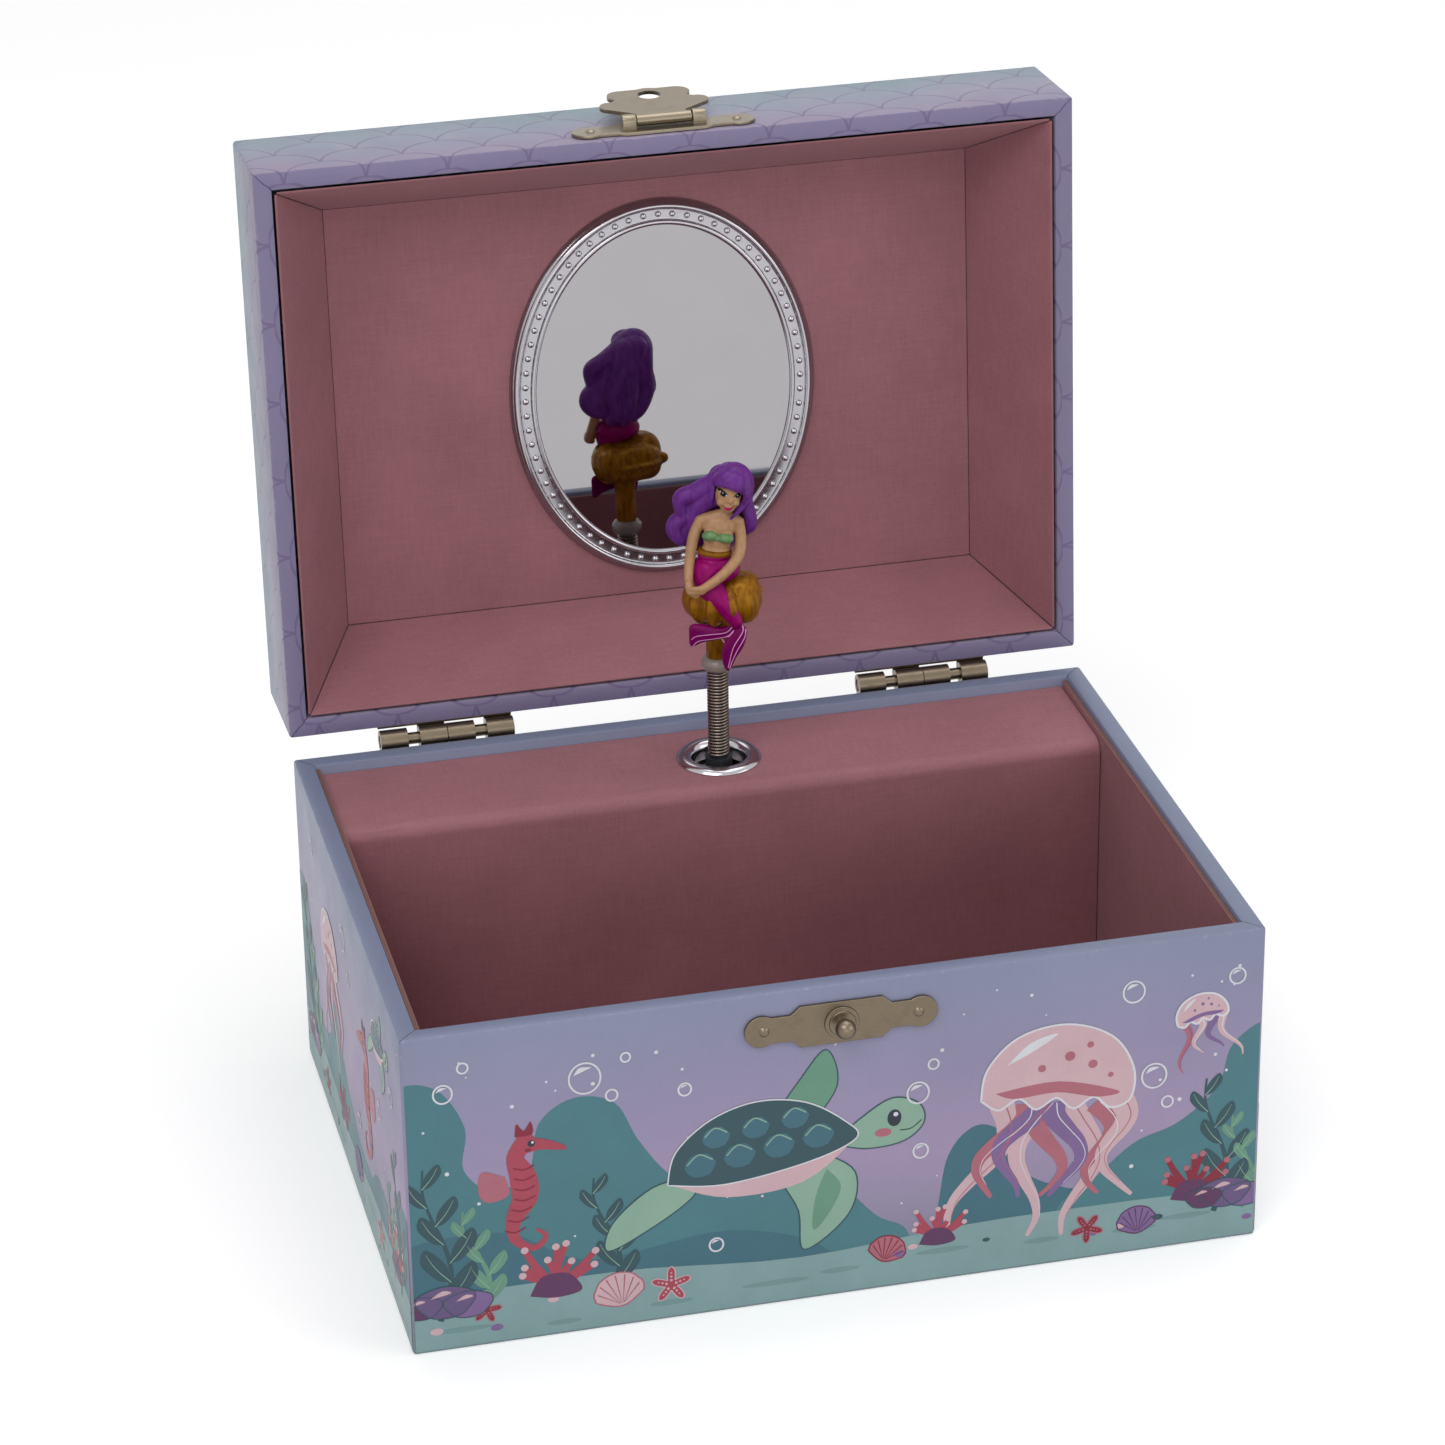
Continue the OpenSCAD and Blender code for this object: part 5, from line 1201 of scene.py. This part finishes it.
def water(p, half, hills, seed, specks, plants):
    """Hills, sea bed, pebbles, specks of (half width, top, count, seed), kelp of (place, height, colour)."""
    rng = random.Random(seed)
    for points, colour, layer in hills:
        p.fill(points, colour, layer, 6)
    p.fill([(-half - 6, -4), (-half - 6, 9), (-half * 0.55, 11.5 + rng.uniform(-1, 1)), (-half * 0.1, 8.6),
            (half * 0.4, 10.6), (half + 6, 8.4), (half + 6, -4)], SEA, 3)
    for k in range(9):
        u = -half + 2 * half * (k + rng.uniform(0.2, 0.8)) / 9
        p.disc(u, rng.uniform(2.2, 6.5), rng.uniform(3, 6.5), SHADE, 4, 0.55)
    for _ in range(12):
        r = rng.uniform(0.5, 1.2)
        p.disc(rng.uniform(-half, half), rng.uniform(2.5, 8), r, rng.choice((MAUVE, PINE, CREAM)), 5, r * 0.6)
    reach, top, count, seed = specks
    rng = random.Random(seed)
    for _ in range(count):
        p.disc(rng.uniform(-reach, reach), rng.uniform(16, top), rng.uniform(0.16, 0.42), PALE, 2, n=8)
    for plant in plants:
        kelp(p, *plant)


def bubbles(p, spots, flip=1):
    for u, v, r in spots:
        bubble(p, u * flip, v, r)


# ---- The pictures ----

FRONT_HILLS = (
    (((-82, -5), (-82, 44), (-76, 52), (-69, 51), (-64.5, 43), (-65, 35), (-60, 30), (-54, 33), (-52, 42),
      (-46, 46), (-39, 44), (-35, 36), (-29, 28), (-20, 25), (-10, 27), (-2, 24), (6, 15), (12, 10),
      (12, -5)), TEAL, 1),
    (((14, -5), (17, 14), (19, 25), (24, 30), (29.5, 27), (33, 19), (40, 15), (48, 12), (50, -5)), DEEP, 1),
    (((82, -5), (82, 38), (76, 43), (69.5, 39), (67, 31), (60, 25), (52, 22), (44, 15), (38, 10), (38, -5)),
     TEAL, 1),
    (((-82, -5), (-82, 18), (-60, 22), (-44, 14), (-20, 16), (-2, 9), (-2, -5)), DEEP, 2),
)
SIDE_HILLS = (
    (((-60, -5), (-60, 30), (-48, 40), (-40, 30), (-34, 18), (-24, 20), (-18, 30), (-10, 22), (4, 14),
      (20, 12), (20, -5)), TEAL, 1),
    (((60, -5), (60, 22), (46, 26), (36, 18), (20, 16), (8, -5)), DEEP, 2),
)


def front_picture(p):
    water(p, 75, FRONT_HILLS, 3, (72, 56, 46, 5),
          ((-70, 30, PINE), (-63.5, 21, LEAF), (-41, 24, PINE), (67, 27, PINE), (72, 19, LEAF)))
    rocks(p, -69, 9, 6)
    rocks(p, 69, 9, 5.5)
    anemone(p, -50, 9.5, 9, CORAL, CREAM)
    anemone(p, 63, 10.5, 8, CRIMSON, ROSE)
    anemone(p, 17, 8.5, 6.5, CORAL, CREAM)
    jellyfish(p, 38, 33, 13.5, ROSE, (CREAM, ROSE, MAUVE) * 2 + (CREAM, ROSE, CREAM), 1.95, -0.12)
    jellyfish(p, 64, 45, 4.6, MAUVE, (ROSE, CREAM, MAUVE, CREAM), 2, 0.2)
    turtle(p, -14, 29, 16.5, 1, 0.13)
    seahorse(p, -56, 29, 10)
    scallop(p, -39, 6.5, 4.2, CREAM, ROSE, 0.2)
    scallop(p, 8, 7.2, 3.2, ROSE, CRIMSON, -0.35)
    scallop(p, 53, 5.8, 3.4, MAUVE, PLUM, 0.1)
    starfish(p, -30, 6.8, 3.6, CORAL, CREAM)
    starfish(p, 44, 6.2, 3, CRIMSON, ROSE, 0.9)
    starfish(p, -62, 7, 2.6, CRIMSON, ROSE, 0.1)
    bubbles(p, ((-68, 50, 1.6), (-64.5, 54.5, 0.9), (-44, 49.5, 2.7), (-39.5, 45.6, 1), (-37, 52.5, 0.8),
                (13.5, 38, 1.9), (16.2, 43.2, 0.9), (14, 26.5, 1.3), (51.5, 52, 1.9), (55.5, 35, 2.2),
                (58, 29.5, 1), (-27, 44.8, 1.1), (70, 52.5, 1.4), (-22, 13.5, 1.2)))


def side_picture(p, f):
    """The left side, or with f of -1 the right side, which is mirrored and has other animals."""
    plants = [(u * f, height, colour) for u, height, colour in
              ((-46, 33, PINE), (-39, 23, LEAF), (44, 28, PINE), (37.5, 18, LEAF))]
    water(p, 53.5, SIDE_HILLS if f > 0 else mirrored(SIDE_HILLS), 11 if f > 0 else 7, (51, 57, 30, 9), plants)
    rocks(p, -44 * f, 9, 5)
    anemone(p, 40 * f, 9.5, 9, CORAL, CREAM)
    anemone(p, -12 * f, 9, 7, CRIMSON, ROSE)
    jellyfish(p, -20 * f, 37, 8.6, ROSE, (CREAM, MAUVE, ROSE, CREAM, ROSE, CREAM), 2.4, 0.1 * f)
    if f < 0:
        turtle(p, -14, 26, 11.5, -1, -0.1)
    else:
        seahorse(p, 17, 29, 11, -1)
        turtle(p, 30, 47, 6.4, 1, 0.2)
    scallop(p, 3 * f, 7.4, 3.8, MAUVE, PLUM)
    starfish(p, 25 * f, 6.8, 3.2, CORAL, CREAM)
    starfish(p, -30 * f, 6.6, 2.8, CRIMSON, ROSE)
    bubbles(p, ((-4, 50, 2.2), (0.5, 44, 1), (-36, 52, 1.4), (42, 44, 1.6), (6, 19, 1.2), (29, 34, 1.5)), f)


def back_picture(p):
    water(p, 75, mirrored(FRONT_HILLS), 23, (72, 50, 40, 15),
          ((66, 28, PINE), (58, 20, LEAF), (-60, 25, PINE), (-67, 18, LEAF)))
    turtle(p, 22, 27, 13, -1, -0.1)
    jellyfish(p, -34, 34, 9.4, ROSE, (CREAM, ROSE, MAUVE, CREAM, ROSE, CREAM), 2.4, 0.1)
    seahorse(p, 49, 29, 9, -1)
    scallop(p, 34, 7.4, 4, CREAM, ROSE)
    starfish(p, -20, 6.8, 3.2, CORAL, CREAM)
    bubbles(p, ((-54, 44, 1.8), (-14, 38, 1.3), (60, 46, 1.7)))


def lid_picture(p):
    for v in (49.5, -49.5) * 5:                          # five coats on each edge line
        p.line([(-71, v), (71, v)], 0.3, PALE, 1, 1)
    jellyfish(p, -30, 14, 15, ROSE, (CREAM, ROSE, MAUVE, CREAM, ROSE, CREAM, MAUVE), 2.6, 0.12, 2)
    turtle(p, 26, 6, 20, 1, 0.2, 2)
    seahorse(p, -58, -6, 13)
    scallop(p, -8, -36, 7, MAUVE, PLUM)
    scallop(p, 50, -34, 5.6, CREAM, ROSE, 0.3)
    starfish(p, 22, -34, 6, CORAL, CREAM)
    bubbles(p, ((-2, 36, 3), (4, 28, 1.5), (60, 34, 2.6), (-56, 32, 2.2), (36, 38, 1.6), (-62, 22, 1.1)))


def print_box():
    x, y = HALF_W - SKIN, HALF_D - SKIN
    wide, deep = HALF_W - 0.6, HALF_D - 0.6
    for name, draw, half, place in (
            ("front", front_picture, wide, lambda u, v, h: Vector((u, -y - h, v)) * MM),
            ("back", back_picture, wide, lambda u, v, h: Vector((-u, y + h, v)) * MM),
            ("left", lambda p: side_picture(p, 1), deep, lambda u, v, h: Vector((-x - h, -u, v)) * MM),
            ("right", lambda p: side_picture(p, -1), deep, lambda u, v, h: Vector((x + h, u, v)) * MM)):
        p = Print((-half, half, 0.5, BASE_H - 0.8))
        draw(p)
        p.make("print_" + name, INK, place, "base", "base_paper", "base_walls")
    p = Print((1 - HALF_W, HALF_W - 1, 1 - HALF_D, HALF_D - 1))
    lid_picture(p)
    p.make("print_lid", INK, lambda u, v, h: Vector((u, v, LID_TOP - SKIN + h)) * MM, "lid", "lid_paper",
           "lid_walls", "lid_top_board")


# ---- Stage; the lamps are in metres ----

WHITE = (1, 1, 1, 1)
LAMPS = (                        # name, place, aim, size, watts
    ("key", (-0.6, -0.75, 1.25), (0, 0, 0.05), (0.9, 0.7), 7.6),
    ("front", (-0.15, -1.35, 0.3), (0, 0, 0.09), (1.4, 0.5), 2.4),
    ("top", (0.25, 0.25, 1.4), (0, 0, 0.05), (1.1, 0.9), 6),
    ("fill", (1, -0.7, 0.55), (0, 0, 0.06), (0.7, 0.7), 2.5),
)
MIRROR_BOUNCE = ("mirror_bounce", (0, 0.066, 0.118), (0, 0, 0.1), (0.05, 0.065), 0.006)
CAMERA_AIM, CAMERA_DISTANCE = (-1.118, 25.82, 72.224), 900          # in millimetres
CAMERA_TURN, CAMERA_RISE, CAMERA_ROLL = -13.2831, 26.2451, -0.8608  # in degrees
CAMERA_LENS, CAMERA_SHIFT = 124.88, (0.00103, -0.00051)


def make_floor():
    """Pale floor that shows white to the camera and in reflections, and keeps the object's shadow."""
    g = Graph("floor_white", rough=0.9, specular=0.1)
    g.set(Base_Color=rgb(238, 238, 238))
    glow = g.node("Emission", {"Color": WHITE, "Strength": g.shown() * 0.3})
    both = g.node("AddShader", {0: Value(g, g.bsdf.outputs[0]), 1: glow})
    g.put(both, g.tree.nodes["Material Output"].inputs["Surface"])
    size, z = 3000, -0.02
    corners = [(-size, -size, z), (size, -size, z), (size, size, z), (-size, size, z)]
    floor = build("floor", (corners, [(0, 1, 2, 3)]), [g.mat])


def make_world():
    world = bpy.data.worlds.new("studio")
    bpy.context.scene.world = world
    world.use_nodes = True
    g = Nodes(world.node_tree)
    back = g.tree.nodes["Background"].inputs
    g.put(g.span(g.shown(), 0, 1, 0.44, 1, "LINEAR"), back["Strength"])
    g.put(WHITE, back["Color"])


def lamp(name, place, aim, size, watts):
    light = bpy.data.lights.new(name, "AREA")
    light.shape = "RECTANGLE"
    light.size, light.size_y = size
    light.energy = watts
    ob = add_object(name, light)
    ob.location = place
    ob.rotation_euler = (Vector(aim) - Vector(place)).to_track_quat("-Z", "Y").to_euler()
    return ob


def make_lamps():
    for row in LAMPS:
        lamp(*row)
    bounce = lamp(*MIRROR_BOUNCE)                        # light that the mirror throws back
    bounce.visible_camera = bounce.visible_glossy = False


def make_camera():
    """Camera solved from the corners of the base and the lid in the photograph."""
    camera = bpy.data.cameras.new("camera")
    camera.sensor_width, camera.lens = 36, CAMERA_LENS
    camera.shift_x, camera.shift_y = CAMERA_SHIFT
    aimed = turned(CAMERA_TURN, "Z", CAMERA_AIM) @ turned(90 - CAMERA_RISE)
    back = turned(CAMERA_ROLL, "Z", (0, 0, CAMERA_DISTANCE))
    bpy.context.scene.camera = add_object("camera", camera, aimed @ back)


make_base()
make_lid()
make_lid_lining()
make_base_lining()
make_ledge()
make_mirror()
make_fittings()
make_eyelet()
make_spring()
make_collar()
dress_movement()
skin_piece, tail_piece = make_figure()
make_seat()
paint_figure(skin_piece, tail_piece)
print_box()

bpy.context.scene.view_settings.view_transform = "Standard"
make_floor()
make_world()
make_lamps()
make_camera()

bpy.context.view_layer.update()
